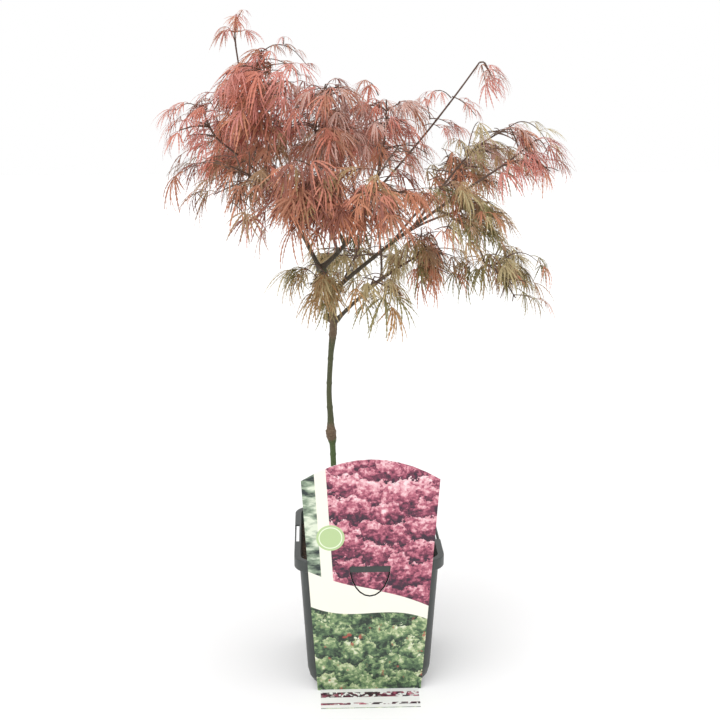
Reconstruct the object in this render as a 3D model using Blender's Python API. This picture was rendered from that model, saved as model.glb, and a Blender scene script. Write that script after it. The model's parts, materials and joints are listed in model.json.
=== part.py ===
"""Weeping cut-leaf Japanese maple, grafted on a short stem, in a square nursery pot with a hanging card.

Frame: metres, +Z up. The origin is the centre of the pot's flat underside, and the card hangs on the -Y side.
The tree is one trunk, boughs that leave it or each other, and one mass of twigs and leaves on the tip of each
bough. Every mass grows by the same seeded rule and keeps to the space nearest to its own middle.
"""

import math
import random
from collections import namedtuple

import bmesh
import bpy
from mathutils import Matrix, Vector

UP = Vector((0, 0, 1))
GAP = 0.0003  # between two pieces that touch
MM = 0.001

# ------------------------------------------------------------------ pot: a square tub with a turned-down lip
POT_HALF = 0.100  # half the width over the lip
POT_HEIGHT = 0.195
LIP_DEPTH = 0.015
LIP_WALL = 0.0018
LEDGE = 0.0022
WALL = 0.0021
WALL_TOP_HALF = 0.0935  # half width outside, just under the ledge
WALL_FOOT_HALF = 0.0835  # half width outside, where the base starts to turn in
BASE_TURN = 0.030  # height of that turn
BASE_HALF = 0.068  # half width of the flat underside
FLOOR = 0.0026
POT_CORNER = 0.026  # radius of the upright corners
CORNER_STEPS = 4
NOTCH_LENGTH, NOTCH_DEPTH = 0.058, 0.0052  # the slot in the lip at the middle of each side
DRAIN_RADIUS, DRAIN_PLACE = 0.006, 0.040

COMPOST_TOP = 0.178

# ------------------------------------------------------------------ card: a printed board hooked into the lip
CARD_THICK = 0.0008
CARD_LEAN = math.radians(4.8)
CARD_FOOT_HALF, CARD_SHOULDER_HALF = 0.0705, 0.0895
CARD_SHOULDER, CARD_CROWN = 0.314, 0.343
CARD_ARCH_STEPS = 10
STRIP_LENGTH, STRIP_HALF = 0.048, 0.0665  # the end that is folded out over the ground
TAB_HALF, TAB_DROP, TAB_STEPS = 0.0262, 0.0450, 12
TAB_TOP = POT_HEIGHT - NOTCH_DEPTH + 0.0004
CUT_MARGIN = 0.0011  # the die cut round the tab

# ------------------------------------------------------------------ trunk: place and radius at each station
Station = namedtuple("Station", "z x y radius")
TRUNK = (
    Station(0.1783, -0.0405, 0.0000, 0.0088),
    Station(0.1880, -0.0415, 0.0005, 0.0060),
    Station(0.2150, -0.0435, 0.0010, 0.0046),
    Station(0.3180, -0.0465, 0.0015, 0.0040),
    Station(0.3400, -0.0490, -0.0005, 0.0066),  # the graft
    Station(0.3620, -0.0492, 0.0005, 0.0043),
    Station(0.4000, -0.0510, 0.0010, 0.0036),
    Station(0.4500, -0.0485, 0.0000, 0.0037),
    Station(0.4900, -0.0448, -0.0005, 0.0054),  # the head, where the boughs begin
    Station(0.5150, -0.0470, 0.0000, 0.0050),
    Station(0.5700, -0.0575, 0.0000, 0.0038),
)
TRUNK_SIDES, TRUNK_STEPS = 9, 2
STUB_HEIGHT, STUB_LENGTH, STUB_RADIUS = 0.498, 0.0135, 0.0048  # where the old top was sawn off

# ------------------------------------------------------------------ boughs
# Each leaves its parent at a share of the parent's length and runs to its tip. bow moves its middle control
# point.
Limb = namedtuple("Limb", "name parent share tip bow foot_radius tip_radius")
LIMBS = (
    Limb("bough_left", "trunk", 0.965, (-0.140, -0.010, 0.724), (0, 0, 0.004), 0.0030, 0.0015),
    Limb("bough_left_out", "bough_left", 0.60, (-0.182, -0.045, 0.735), (-0.006, 0, 0.010), 0.0017, 0.0012),
    Limb("bough_left_low", "bough_left", 0.34, (-0.130, -0.070, 0.687), (0, -0.006, 0.014), 0.0019, 0.0012),
    Limb("bough_left_back", "bough_left", 0.46, (-0.149, 0.100, 0.698), (0, 0.010, 0.014), 0.0019, 0.0012),
    Limb("shoot_top", "bough_left", 0.86, (-0.166, 0.024, 0.850), (-0.010, 0.026, 0), 0.0012, 0.0010),
    Limb("bough_centre", "trunk", 1.00, (0.016, 0, 0.702), (0.020, 0, -0.018), 0.0031, 0.0016),
    Limb("bough_centre_left", "bough_centre", 0.28, (-0.066, -0.022, 0.718), (-0.012, 0, 0), 0.0021, 0.0013),
    Limb("bough_centre_back", "bough_centre", 0.50, (-0.020, 0.120, 0.700), (0, 0.010, 0.012), 0.0020, 0.0012),
    Limb("bough_centre_front", "bough_centre", 0.18, (-0.064, -0.095, 0.671), (0, -0.010, 0.012), 0.0020, 0.0012),
    Limb("shoot_long", "bough_centre", 0.74, (0.143, 0.012, 0.830), (0.006, 0.012, -0.006), 0.0015, 0.0010),
    Limb("bough_right", "trunk", 0.935, (0.158, -0.030, 0.696), (0, 0, 0.012), 0.0030, 0.0014),
    Limb("bough_right_crest", "bough_right", 0.52, (0.132, 0.035, 0.708), (0, 0.006, 0.004), 0.0017, 0.0012),
    Limb("bough_right_mid", "bough_right", 0.44, (0.096, -0.070, 0.648), (0, -0.006, 0.006), 0.0017, 0.0012),
    Limb("bough_right_back", "bough_right", 0.38, (0.124, 0.115, 0.668), (0, 0.014, 0.010), 0.0018, 0.0012),
    Limb("bough_right_low", "bough_right", 0.66, (0.152, -0.015, 0.578), (0.016, 0.006, 0.014), 0.0015, 0.0011),
    Limb("bough_low_right", "trunk", 0.815, (0.056, -0.020, 0.582), (0, 0, 0.012), 0.0026, 0.0014),
    Limb("bough_low_centre", "bough_low_right", 0.38, (0, -0.055, 0.555), (0.002, -0.006, 0.006), 0.0015, 0.0011),
    Limb("bough_low_front", "bough_low_right", 0.60, (0.004, -0.100, 0.656), (0.006, -0.010, 0), 0.0016, 0.0012),
    Limb("bough_low_left", "trunk", 0.90, (-0.050, -0.046, 0.560), (-0.004, -0.004, 0.002), 0.0017, 0.0012),
    Limb("bough_low_back", "trunk", 0.86, (-0.014, 0.105, 0.560), (0, 0.006, 0.012), 0.0019, 0.0012),
)
LIMB_SIDES, LIMB_STEPS = 5, 5

# ------------------------------------------------------------------ masses of twigs and leaves
# Each grows on from the tip of its bough to the point it reaches. nodes is the number of places on the stem
# where a pair of twigs leaves it, spread the length of those twigs, leaf the length of a leaf's longest lobe,
# and leaves the most leaves it may have.
Mass = namedtuple("Mass", "name bough reach nodes spread leaf leaves")
MASSES = (
    Mass("foliage_crest_left", "bough_left", (-0.132, -0.010, 0.846), 5, 0.078, 0.072, 20),
    Mass("foliage_tip_left", "bough_left_out", (-0.207, -0.045, 0.787), 3, 0.050, 0.060, 9),
    Mass("foliage_skirt_left", "bough_left_low", (-0.169, -0.110, 0.714), 3, 0.062, 0.068, 13),
    Mass("foliage_back_left", "bough_left_back", (-0.190, 0.155, 0.740), 3, 0.058, 0.072, 10),
    Mass("foliage_tuft_top", "shoot_top", (-0.164, 0.018, 0.889), 1, 0.010, 0.040, 5),
    Mass("foliage_crown_centre", "bough_centre", (0.024, 0, 0.799), 3, 0.062, 0.070, 13),
    Mass("foliage_crown_left", "bough_centre_left", (-0.053, -0.020, 0.805), 4, 0.066, 0.072, 16),
    Mass("foliage_back_centre", "bough_centre_back", (-0.018, 0.185, 0.742), 3, 0.060, 0.072, 10),
    Mass("foliage_front_centre", "bough_centre_front", (-0.079, -0.160, 0.700), 3, 0.064, 0.070, 14),
    Mass("foliage_tuft_shoot", "shoot_long", (0.158, 0.010, 0.814), 1, 0.010, 0.044, 4),
    Mass("foliage_tip_right", "bough_right", (0.208, -0.050, 0.738), 2, 0.048, 0.062, 9),
    Mass("foliage_crest_right", "bough_right_crest", (0.187, 0.045, 0.745), 3, 0.056, 0.064, 12),
    Mass("foliage_front_right", "bough_right_mid", (0.122, -0.105, 0.671), 3, 0.056, 0.066, 11),
    Mass("foliage_back_right", "bough_right_back", (0.158, 0.170, 0.690), 3, 0.058, 0.072, 10),
    Mass("foliage_skirt_right", "bough_right_low", (0.182, -0.020, 0.586), 3, 0.052, 0.062, 10),
    Mass("foliage_low_right", "bough_low_right", (0.081, -0.045, 0.607), 3, 0.050, 0.062, 10),
    Mass("foliage_low_front", "bough_low_centre", (0.017, -0.095, 0.576), 2, 0.046, 0.062, 8),
    Mass("foliage_mid_front", "bough_low_front", (0.007, -0.160, 0.712), 3, 0.058, 0.068, 12),
    Mass("foliage_low_left", "bough_low_left", (-0.064, -0.080, 0.569), 2, 0.034, 0.054, 7),
    Mass("foliage_low_back", "bough_low_back", (-0.010, 0.160, 0.566), 3, 0.052, 0.066, 9),
)
SEED = 20
STEM_RUN_ON = 0.4  # how far a mass's stem keeps to its bough's line, as a share of its length
STEM_SIDES, STEM_TIP_RADIUS = 4, 0.0010
TWIG_RADIUS, TWIG_TIP_RADIUS = 0.0011, 0.0007
TWIG_DROOP = 0.22  # drop of a twig's tip, as a share of its length
TWIG_FLATNESS = 0.6
TRIES = 12  # ways that a twig or a leaf tries before it is left out
SPACE_MARGIN = 0.0006
LIMB_CLEARANCE = 0.0008

# ------------------------------------------------------------------ leaf: a hand of narrow lobes that hang
LOBE_ANGLES = (-108, -72, -36, 0, 36, 72, 108)  # degrees from the way the leaf points
LOBE_SHARES = (0.50, 0.76, 0.93, 1.0, 0.93, 0.76, 0.50)  # lengths, as shares of the middle lobe's
LOBE_DIP, LOBE_DIP_AROUND = 56, 0.08  # degrees below level, and more for each degree round from the front
LOBE_HALF = 0.0020  # half the width of a lobe at its middle
NOTCH_SHARE = 0.17  # how far out the lobes part
LEAF_THICK, LEAF_HEEL = 0.0018, 0.0018
LEAF_CLEARANCE = 0.0030
PETIOLE_SHARE, PETIOLE_RISE, PETIOLE_RADIUS = 0.26, 0.40, 0.0006
ROOT_SINK = 0.0003  # how far a petiole or a twig starts beyond the axis it grows from


# ------------------------------------------------------------------ general helpers
def clear_scene():
    for obj in list(bpy.data.objects):
        bpy.data.objects.remove(obj, do_unlink=True)


def material(name, color, roughness, metallic=0.0):
    made = bpy.data.materials.new(name)
    made.use_nodes = True
    shader = made.node_tree.nodes["Principled BSDF"]
    shader.inputs["Base Color"].default_value = (*color, 1)
    shader.inputs["Roughness"].default_value = roughness
    shader.inputs["Metallic"].default_value = metallic
    return made


def object_of(mesh_builder, name, finish=None, smooth=False, collection=None):
    """An object from a bmesh, which is freed. Its faces are turned to point outwards first."""
    bmesh.ops.recalc_face_normals(mesh_builder, faces=mesh_builder.faces)
    mesh = bpy.data.meshes.new(name)
    mesh_builder.to_mesh(mesh)
    mesh_builder.free()
    if finish:
        mesh.materials.append(finish)
    if smooth:
        mesh.shade_smooth()
        mesh.set_sharp_from_angle(angle=math.radians(40))
    obj = bpy.data.objects.new(name, mesh)
    (collection or bpy.context.scene.collection).objects.link(obj)
    return obj


def bake_modifiers(obj):
    """Replaces the object's mesh with the evaluated one, and drops its modifiers."""
    bpy.context.view_layer.update()
    graph = bpy.context.evaluated_depsgraph_get()
    baked = bpy.data.meshes.new_from_object(obj.evaluated_get(graph))
    obj.modifiers.clear()
    obj.data = baked
    return obj


def boolean(obj, other, operation):
    """Cuts or joins one object with another, which is then removed."""
    step = obj.modifiers.new(operation.lower(), "BOOLEAN")
    step.operation = operation
    step.object = other
    bake_modifiers(obj)
    bpy.data.objects.remove(other, do_unlink=True)


def bridge(mesh_builder, rings):
    """Joins equal rings of vertices, each with the next."""
    for lower, upper in zip(rings, rings[1:]):
        count = len(lower)
        for i in range(count):
            j = (i + 1) % count
            mesh_builder.faces.new((lower[i], lower[j], upper[j], upper[i]))


def prism(name, outline, height, place=Matrix.Identity(4), finish=None, collection=None):
    """A flat outline in x and y, made height thick along its own +z, then placed by a matrix."""
    made = bmesh.new()
    low = [made.verts.new(place @ Vector((x, y, 0))) for x, y in outline]
    high = [made.verts.new(place @ Vector((x, y, height))) for x, y in outline]
    made.faces.new(low)
    made.faces.new(high)
    bridge(made, [low, high])
    return object_of(made, name, finish, collection=collection)


def box_outline(x0, x1, y0, y1):
    return [(x0, y0), (x1, y0), (x1, y1), (x0, y1)]


def circle_outline(radius, steps, middle=(0, 0)):
    turns = [2 * math.pi * i / steps for i in range(steps)]
    return [(middle[0] + radius * math.cos(a), middle[1] + radius * math.sin(a)) for a in turns]


# ------------------------------------------------------------------ paths and tubes
def bowed(start, end, bow, steps):
    """Points along a quadratic curve whose control point is the middle, moved by bow."""
    start, end = Vector(start), Vector(end)
    control = (start + end) / 2 + Vector(bow)
    shares = [i / steps for i in range(steps + 1)]
    return [start * (1 - t) ** 2 + control * 2 * t * (1 - t) + end * t * t for t in shares]


def smooth_through(stations, steps):
    """Centre and radius along a Catmull-Rom curve through the stations, steps to each span."""
    rows = [Vector((s.x, s.y, s.z, s.radius)) for s in stations]
    rows = [2 * rows[0] - rows[1], *rows, 2 * rows[-1] - rows[-2]]
    found = []
    for a, b, c, d in zip(rows, rows[1:], rows[2:], rows[3:]):
        for i in range(steps):
            t = i / steps
            bend = (2 * a - 5 * b + 4 * c - d) * t**2 + (3 * b - a - 3 * c + d) * t**3
            found.append(b + 0.5 * ((c - a) * t + bend))
    found.append(rows[-2])
    return [Vector(r[:3]) for r in found], [r[3] for r in found]


def tangents(points):
    ends = [points[0], *points, points[-1]]
    return [(after - before).normalized() for before, after in zip(ends, ends[2:])]


def at_share(points, share):
    """The point and direction at a share of the path's steps."""
    place = min(share, 1) * (len(points) - 1)
    i = min(int(place), len(points) - 2)
    return points[i].lerp(points[i + 1], place - i), (points[i + 1] - points[i]).normalized()


def tube(points, radii, sides, foot_face=None):
    """A closed tube with flat ends, its rings square to the path and carried along it without twist.

    foot_face is a point and a normal: the first ring is then slid along the path onto that plane.
    """
    made = bmesh.new()
    ways = tangents(points)
    side = ways[0].orthogonal().normalized()
    rings = []
    for point, way, radius in zip(points, ways, radii):
        side = (side - way * side.dot(way)).normalized()
        other = way.cross(side)
        turns = [2 * math.pi * i / sides for i in range(sides)]
        ring = [point + (side * math.cos(a) + other * math.sin(a)) * radius for a in turns]
        if foot_face and not rings:
            origin, normal = foot_face
            ring = [corner + way * (origin - corner).dot(normal) / way.dot(normal) for corner in ring]
        rings.append([made.verts.new(corner) for corner in ring])
    bridge(made, rings)
    made.faces.new(rings[0])
    made.faces.new(rings[-1])
    return made


# ------------------------------------------------------------------ pot and compost
def square_ring(half, corner, z):
    """Points round a square of this half width with round corners."""
    points = []
    for quarter in range(4):
        turn = Matrix.Rotation(math.pi / 2 * quarter, 2)
        for i in range(CORNER_STEPS + 1):
            a = math.pi / 2 * i / CORNER_STEPS
            x, y = turn @ Vector((half - corner + corner * math.cos(a), half - corner + corner * math.sin(a)))
            points.append(Vector((x, y, z)))
    return points


def loft(name, profile, finish):
    """A solid through square rings, from (half width, height) pairs, closed flat at both ends."""
    made = bmesh.new()
    rings = []
    for half, z in profile:
        corner = max(POT_CORNER - (POT_HALF - half), 0.012)
        rings.append([made.verts.new(p) for p in square_ring(half, corner, z)])
    bridge(made, rings)
    made.faces.new(rings[0])
    made.faces.new(rings[-1])
    return object_of(made, name, finish, smooth=True)


def wall_half(z):
    """Half the outer width of the pot's straight wall at a height."""
    share = (z - BASE_TURN) / (POT_HEIGHT - LEDGE - BASE_TURN)
    return WALL_FOOT_HALF + (WALL_TOP_HALF - WALL_FOOT_HALF) * share


# The turned base, as (half width outside, height).
BASE_PROFILE = ((BASE_HALF, 0.0), (0.0755, 0.006), (0.0805, 0.016), (WALL_FOOT_HALF, BASE_TURN))


def make_pot(finish):
    bevel = 0.0012
    inner_base = [(half - WALL, z + (FLOOR if z == 0 else WALL * 0.6)) for half, z in BASE_PROFILE]
    profile = [
        *BASE_PROFILE,
        (WALL_TOP_HALF, POT_HEIGHT - LEDGE),
        (POT_HALF - LIP_WALL, POT_HEIGHT - LEDGE),
        (POT_HALF - LIP_WALL, POT_HEIGHT - LIP_DEPTH),
        (POT_HALF, POT_HEIGHT - LIP_DEPTH),
        (POT_HALF, POT_HEIGHT - bevel),
        (POT_HALF - bevel, POT_HEIGHT),
        (WALL_TOP_HALF - WALL + bevel, POT_HEIGHT),
        (WALL_TOP_HALF - WALL, POT_HEIGHT - bevel),
        *reversed(inner_base),
    ]
    pot = loft("pot", profile, finish)
    reach = 0.004
    notch_outline = box_outline(WALL_TOP_HALF + GAP, POT_HALF + reach, -NOTCH_LENGTH / 2, NOTCH_LENGTH / 2)
    drain_outline = circle_outline(DRAIN_RADIUS, 10, (DRAIN_PLACE, DRAIN_PLACE))
    for quarter in range(4):
        turn = Matrix.Rotation(math.pi / 2 * quarter, 4, "Z")
        notch_place = turn @ Matrix.Translation((0, 0, POT_HEIGHT - NOTCH_DEPTH))
        notch = prism("notch", notch_outline, NOTCH_DEPTH + reach, notch_place)
        boolean(pot, notch, "DIFFERENCE")
        drain = prism("drain", drain_outline, FLOOR + 2 * reach, turn @ Matrix.Translation((0, 0, -reach)))
        boolean(pot, drain, "DIFFERENCE")
    return pot


def make_compost(finish):
    inset = WALL + GAP
    profile = [(half - inset, z + GAP + (FLOOR if z == 0 else WALL * 0.6)) for half, z in BASE_PROFILE]
    top = wall_half(COMPOST_TOP) - inset - 0.0003
    profile.append((top, COMPOST_TOP - 0.002))
    profile.append((top - 0.002, COMPOST_TOP))
    return loft("compost", profile, finish)


# ------------------------------------------------------------------ card
def tab_outline(grow):
    """The half-round tab, hanging from y = 0, larger all round by grow."""
    turns = [math.pi * i / TAB_STEPS for i in range(TAB_STEPS + 1)]
    return [((TAB_HALF + grow) * math.cos(a), -(TAB_DROP + grow) * math.sin(a)) for a in turns]


def make_card(finish):
    # The board leans on the lower edge of the lip. Local x runs along the card, y up it, z out to the front.
    touch = Vector((0, -(POT_HALF + GAP), POT_HEIGHT - LIP_DEPTH))
    upright = Matrix.Rotation(math.pi / 2 + CARD_LEAN, 4, "X")
    lean = Matrix.Translation(touch) @ upright
    down_to_ground = -touch.z / math.cos(CARD_LEAN)

    def up_card(z):
        return (z - touch.z) / math.cos(CARD_LEAN)

    rise = CARD_CROWN - CARD_SHOULDER
    outline = [(-CARD_FOOT_HALF, down_to_ground), (CARD_FOOT_HALF, down_to_ground)]
    for i in range(CARD_ARCH_STEPS + 1):
        x = CARD_SHOULDER_HALF * (1 - 2 * i / CARD_ARCH_STEPS)
        outline.append((x, up_card(CARD_SHOULDER + rise * (1 - (x / CARD_SHOULDER_HALF) ** 2))))
    card = prism("card", outline, CARD_THICK, lean, finish)

    reach = 0.004
    cut_place = Matrix.Translation(touch + Vector((0, reach, TAB_TOP - touch.z))) @ upright
    boolean(card, prism("die_cut", tab_outline(CUT_MARGIN), 3 * reach, cut_place), "DIFFERENCE")

    # The end folded out over the ground, a tongue through the slot in the lip, and the tab behind the lip.
    foot_y = touch.y + touch.z * math.tan(CARD_LEAN)
    crease = foot_y - CARD_THICK / 2
    fold_outline = box_outline(-STRIP_HALF, STRIP_HALF, crease - STRIP_LENGTH, crease)
    boolean(card, prism("fold", fold_outline, CARD_THICK), "UNION")
    behind_lip = -(POT_HALF - LIP_WALL - 0.0014)
    card_at_tab = touch.y - (TAB_TOP - touch.z) * math.tan(CARD_LEAN)
    near, far = card_at_tab - CARD_THICK / 2, behind_lip + CARD_THICK / 2
    tongue_outline = box_outline(-TAB_HALF + MM, TAB_HALF - MM, near, far)
    tongue = prism("tongue", tongue_outline, CARD_THICK, Matrix.Translation((0, 0, TAB_TOP)))
    boolean(card, tongue, "UNION")
    tab_place = Matrix.Translation((0, behind_lip + CARD_THICK, TAB_TOP + CARD_THICK / 2))
    hang = tab_place @ Matrix.Rotation(math.pi / 2, 4, "X")
    boolean(card, prism("tab", tab_outline(0), CARD_THICK, hang), "UNION")
    return card


# ------------------------------------------------------------------ trunk and boughs
def make_trunk(finish):
    points, radii = smooth_through(TRUNK, TRUNK_STEPS)
    trunk = object_of(tube(points, radii, TRUNK_SIDES, (points[0], UP)), "trunk", finish, smooth=True)
    foot = min(points, key=lambda p: abs(p.z - STUB_HEIGHT))
    way = Vector((-0.86, 0.12, 0.50)).normalized()
    stub = object_of(tube([foot, foot + way * STUB_LENGTH], [STUB_RADIUS, STUB_RADIUS * 0.94], 8), "stub")
    boolean(trunk, stub, "UNION")
    return points, radii


def foot_of(limb, parent_points, parent_radii):
    """Where a bough starts, and the plane of its foot, which lies just clear of the limb that carries it."""
    on_axis, along = at_share(parent_points, limb.share)
    if limb.share == 1:
        end = on_axis + along * GAP
        return end, (end, along)
    step = int(limb.share * (len(parent_radii) - 1))
    parent_radius = max(parent_radii[step], parent_radii[step + 1])
    control = (on_axis + Vector(limb.tip)) / 2 + Vector(limb.bow)
    way = (control - on_axis).normalized()
    outward = (way - along * way.dot(along)).normalized()
    face = on_axis + outward * (parent_radius + GAP)
    return on_axis + way * (parent_radius + GAP) / way.dot(outward), (face, outward)


def make_limbs(trunk_points, trunk_radii, finish):
    """Every bough as a solid, and its path and radii by name."""
    paths = {"trunk": (trunk_points, trunk_radii)}
    for limb in LIMBS:
        start, foot_face = foot_of(limb, *paths[limb.parent])
        points = bowed(start, limb.tip, limb.bow, LIMB_STEPS)
        shares = [i / LIMB_STEPS for i in range(LIMB_STEPS + 1)]
        radii = [limb.foot_radius + (limb.tip_radius - limb.foot_radius) * t for t in shares]
        paths[limb.name] = (points, radii)
        object_of(tube(points, radii, LIMB_SIDES, foot_face), limb.name, finish, smooth=True)
    return paths


# ------------------------------------------------------------------ growth: twigs and leaves
Twig = namedtuple("Twig", "points radii")
Leaf = namedtuple("Leaf", "root heading size dip")


def segment_distance(a, b, c, d):
    """Shortest distance between the segments a-b and c-d."""
    u, v, w = b - a, d - c, a - c
    uu, uv, vv = u.dot(u), u.dot(v), v.dot(v)
    uw, vw = u.dot(w), v.dot(w)
    flat = uu * vv - uv * uv
    s = min(max((uv * vw - vv * uw) / flat, 0), 1) if flat > 1e-12 else 0
    t = min(max((uv * s + vw) / vv, 0), 1)
    s = min(max((uv * t - uw) / uu, 0), 1)
    return (w + u * s - v * t).length


def spans(points):
    return list(zip(points, points[1:]))


class Space:
    """The room of one mass: all that lies nearer to its middle than to any other's, less the limbs.

    Distances count from a ball as wide as the mass's twigs are long, so a small tuft takes little room.
    """

    def __init__(self, name, middles, paths):
        self.own, self.own_ball = middles[name]
        self.others = [middle for other, middle in middles.items() if other != name]
        self.limbs = []
        for points, radii in paths.values():
            for (a, b), radius in zip(spans(points), radii):
                self.limbs.append((a, b, radius, (a + b) / 2, (b - a).length / 2))

    def holds(self, points):
        for point in points:
            near = (point - self.own).length_squared - self.own_ball**2
            for other, ball in self.others:
                far = (point - other).length_squared - ball**2
                if near + 2 * SPACE_MARGIN * (self.own - other).length > far:
                    return False
        return True

    def clears(self, lines, width):
        """True if each of these straight lines, this wide, misses every limb."""
        for a, b in lines:
            middle, half = (a + b) / 2, (b - a).length / 2
            for c, d, radius, limb_middle, limb_half in self.limbs:
                clearance = width + radius + LIMB_CLEARANCE
                if (middle - limb_middle).length < half + limb_half + clearance:
                    if segment_distance(a, b, c, d) < clearance:
                        return False
        return True


def middle_of(mass, paths):
    """The middle of a mass's room, a little under its stem's as the leaves hang, and its ball's radius."""
    tip = paths[mass.bough][0][-1]
    return (tip + Vector(mass.reach)) / 2 - UP * mass.leaf * 0.25, mass.spread


def level_heading(way, turn):
    """The level direction of way, turned by an angle in radians."""
    level = Vector((way.x, way.y, 0))
    if level.length < 1e-6:
        level = Vector((1, 0, 0))
    return Matrix.Rotation(turn, 3, "Z") @ level.normalized()


def grow_twigs(mass, paths, space):
    """A mass's stem and the pairs of twigs along it. Each twig takes the first way it tries that has room."""
    draw = random.Random(f"{SEED}{mass.name}").uniform
    limb_points, limb_radii = paths[mass.bough]
    way = (limb_points[-1] - limb_points[-2]).normalized()
    steps = mass.nodes + 1
    start, end = limb_points[-1] + way * GAP, Vector(mass.reach)
    run_on = start + way * (end - start).length * STEM_RUN_ON
    stem = bowed(start, end, run_on - (start + end) / 2, steps)
    stem_foot = min(limb_radii[-1] * 1.2, 0.0016)
    twigs = [Twig(stem, [stem_foot + (STEM_TIP_RADIUS - stem_foot) * i / steps for i in range(steps + 1)])]
    phase = draw(0, math.pi)
    for node in range(1, steps):
        foot = stem[node]
        along = (stem[node + 1] - stem[node - 1]).normalized()
        side = along.orthogonal().normalized()
        phase += math.radians(draw(70, 110))
        for hand in (0, math.pi):
            tries = []
            for i in range(TRIES):
                tries.append((draw(-1, 1) * i / TRIES, draw(0.2, 0.8), draw(0.8, 1.1) * (1 - 0.06 * i)))
            for swing, lean, share in tries:
                out = Matrix.Rotation(phase + hand + swing, 3, along) @ side
                out.z *= TWIG_FLATNESS
                way = (along * lean + out.normalized()).normalized()
                length = mass.spread * share
                tip = foot + way * length - UP * TWIG_DROOP * length
                points = bowed(foot - way * ROOT_SINK, tip, UP * TWIG_DROOP * length * 0.5, 2)
                end_leaf = leaf_at(tip, points[2] - points[1], 0, mass.leaf * 0.7, 8)
                if fits(end_leaf, space) and space.clears(spans(points)[1:], TWIG_RADIUS):
                    twigs.append(Twig(points, [TWIG_RADIUS, TWIG_RADIUS * 0.85, TWIG_TIP_RADIUS]))
                    break
    return twigs


def leaf_sites(twigs):
    """Where leaves stand: the place, the twig's way there, the turn from it, and the twig the leaf ends."""
    sites = []
    for twig in reversed(twigs):
        sites.append((twig.points[-1], twig.points[-1] - twig.points[-2], 0, twig))
    for twig in twigs[1:]:
        sites += [(twig.points[1], twig.points[2] - twig.points[0], turn, None) for turn in (1.2, -1.2)]
    for foot, onward in spans(twigs[0].points)[1:]:
        sites += [(foot, onward - foot, turn, None) for turn in (1.4, -1.4)]
    return sites


def leaf_at(root, way, turn, size, dip):
    return Leaf(root, level_heading(way, turn), size, dip)


def leaf_points(leaf):
    """The leaf's centre, its outline from one basal side round to the other, and its petiole's root."""
    reach = (leaf.heading * 0.9 + UP * PETIOLE_RISE).normalized()
    centre = leaf.root + reach * leaf.size * PETIOLE_SHARE

    def out(angle, length, dip):
        level = Matrix.Rotation(math.radians(angle), 3, "Z") @ leaf.heading
        dip = math.radians(dip + abs(angle) * LOBE_DIP_AROUND)
        return centre + (level * math.cos(dip) - UP * math.sin(dip)) * length

    outline = [out(-150, LEAF_HEEL, 0)]
    for i, (angle, share) in enumerate(zip(LOBE_ANGLES, LOBE_SHARES)):
        if i:
            outline.append(out((angle + LOBE_ANGLES[i - 1]) / 2, leaf.size * NOTCH_SHARE, LOBE_DIP * 0.5))
        outline.append(out(angle, leaf.size * share, LOBE_DIP + leaf.dip))
    outline.append(out(150, LEAF_HEEL, 0))
    return centre, outline, leaf.root - reach * ROOT_SINK


def lobe_lines(leaf):
    """A line down the middle of each lobe, from a little way out to its tip."""
    centre, outline, root = leaf_points(leaf)
    return [(centre.lerp(tip, NOTCH_SHARE), tip) for tip in outline[1:-1:2]]


def fits(leaf, space):
    centre, outline, root = leaf_points(leaf)
    lines = [(leaf.root, centre), *lobe_lines(leaf)]
    return space.holds([centre, root, *outline]) and space.clears(lines, LOBE_HALF)


def apart(lines, others, clearance):
    return all(segment_distance(a, b, c, d) > clearance for a, b in lines for c, d in others)


def grow_leaves(mass, twigs, space):
    """The leaves of a mass, each with the twig it ends, if any. Each takes the first way that fits."""
    draw = random.Random(f"{SEED}{mass.name} leaves").uniform
    twig_lines = [line for twig in twigs for line in spans(twig.points)]
    kept = []
    for root, way, turn, twig in leaf_sites(twigs):
        tries = []
        for i in range(TRIES):
            tries.append((draw(-1.4, 1.4) * i / TRIES, draw(0.9, 1.1) * (1 - 0.04 * i), draw(-10, 6) + i))
        for swing, share, dip in tries:
            leaf = leaf_at(root, way, turn + swing, mass.leaf * share, dip)
            lines = lobe_lines(leaf)
            if not (fits(leaf, space) and apart(lines, twig_lines, LOBE_HALF)):
                continue
            if all(apart(lines, lobe_lines(other), LEAF_CLEARANCE) for other, _ in kept):
                kept.append((leaf, twig))
                break
        if len(kept) == mass.leaves:
            break
    return kept


def leaf_solid(leaf, path, radii):
    """A thin lens over the outline, with a three-sided stalk along the path behind it."""
    centre, outline, _ = leaf_points(leaf)
    made = bmesh.new()
    top = made.verts.new(centre + UP * LEAF_THICK / 2)
    bottom = made.verts.new(centre - UP * LEAF_THICK / 2)
    edge = [made.verts.new(p) for p in outline]
    for a, b in zip(edge, edge[1:]):
        made.faces.new((top, a, b))
        made.faces.new((bottom, b, a))
    points = [*path, centre]
    side = (outline[0] - outline[-1]).normalized()
    rings = []
    for i in reversed(range(len(path))):
        way = (points[i + 1] - points[max(i - 1, 0)]).normalized()
        side = (side - way * side.dot(way)).normalized()
        down = way.cross(side)
        if down.z > 0:
            down.negate()
        corners = (side * 0.87 - down * 0.5, -side * 0.87 - down * 0.5, down)
        rings.append([made.verts.new(points[i] + corner * radii[i]) for corner in corners])
    left, right, low = rings[0]
    made.faces.new((edge[0], top, left))
    made.faces.new((left, top, right))
    made.faces.new((right, top, edge[-1]))
    made.faces.new((edge[-1], bottom, low, right))
    made.faces.new((bottom, edge[0], left, low))
    bridge(made, rings)
    made.faces.new(rings[-1])
    return made


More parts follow.
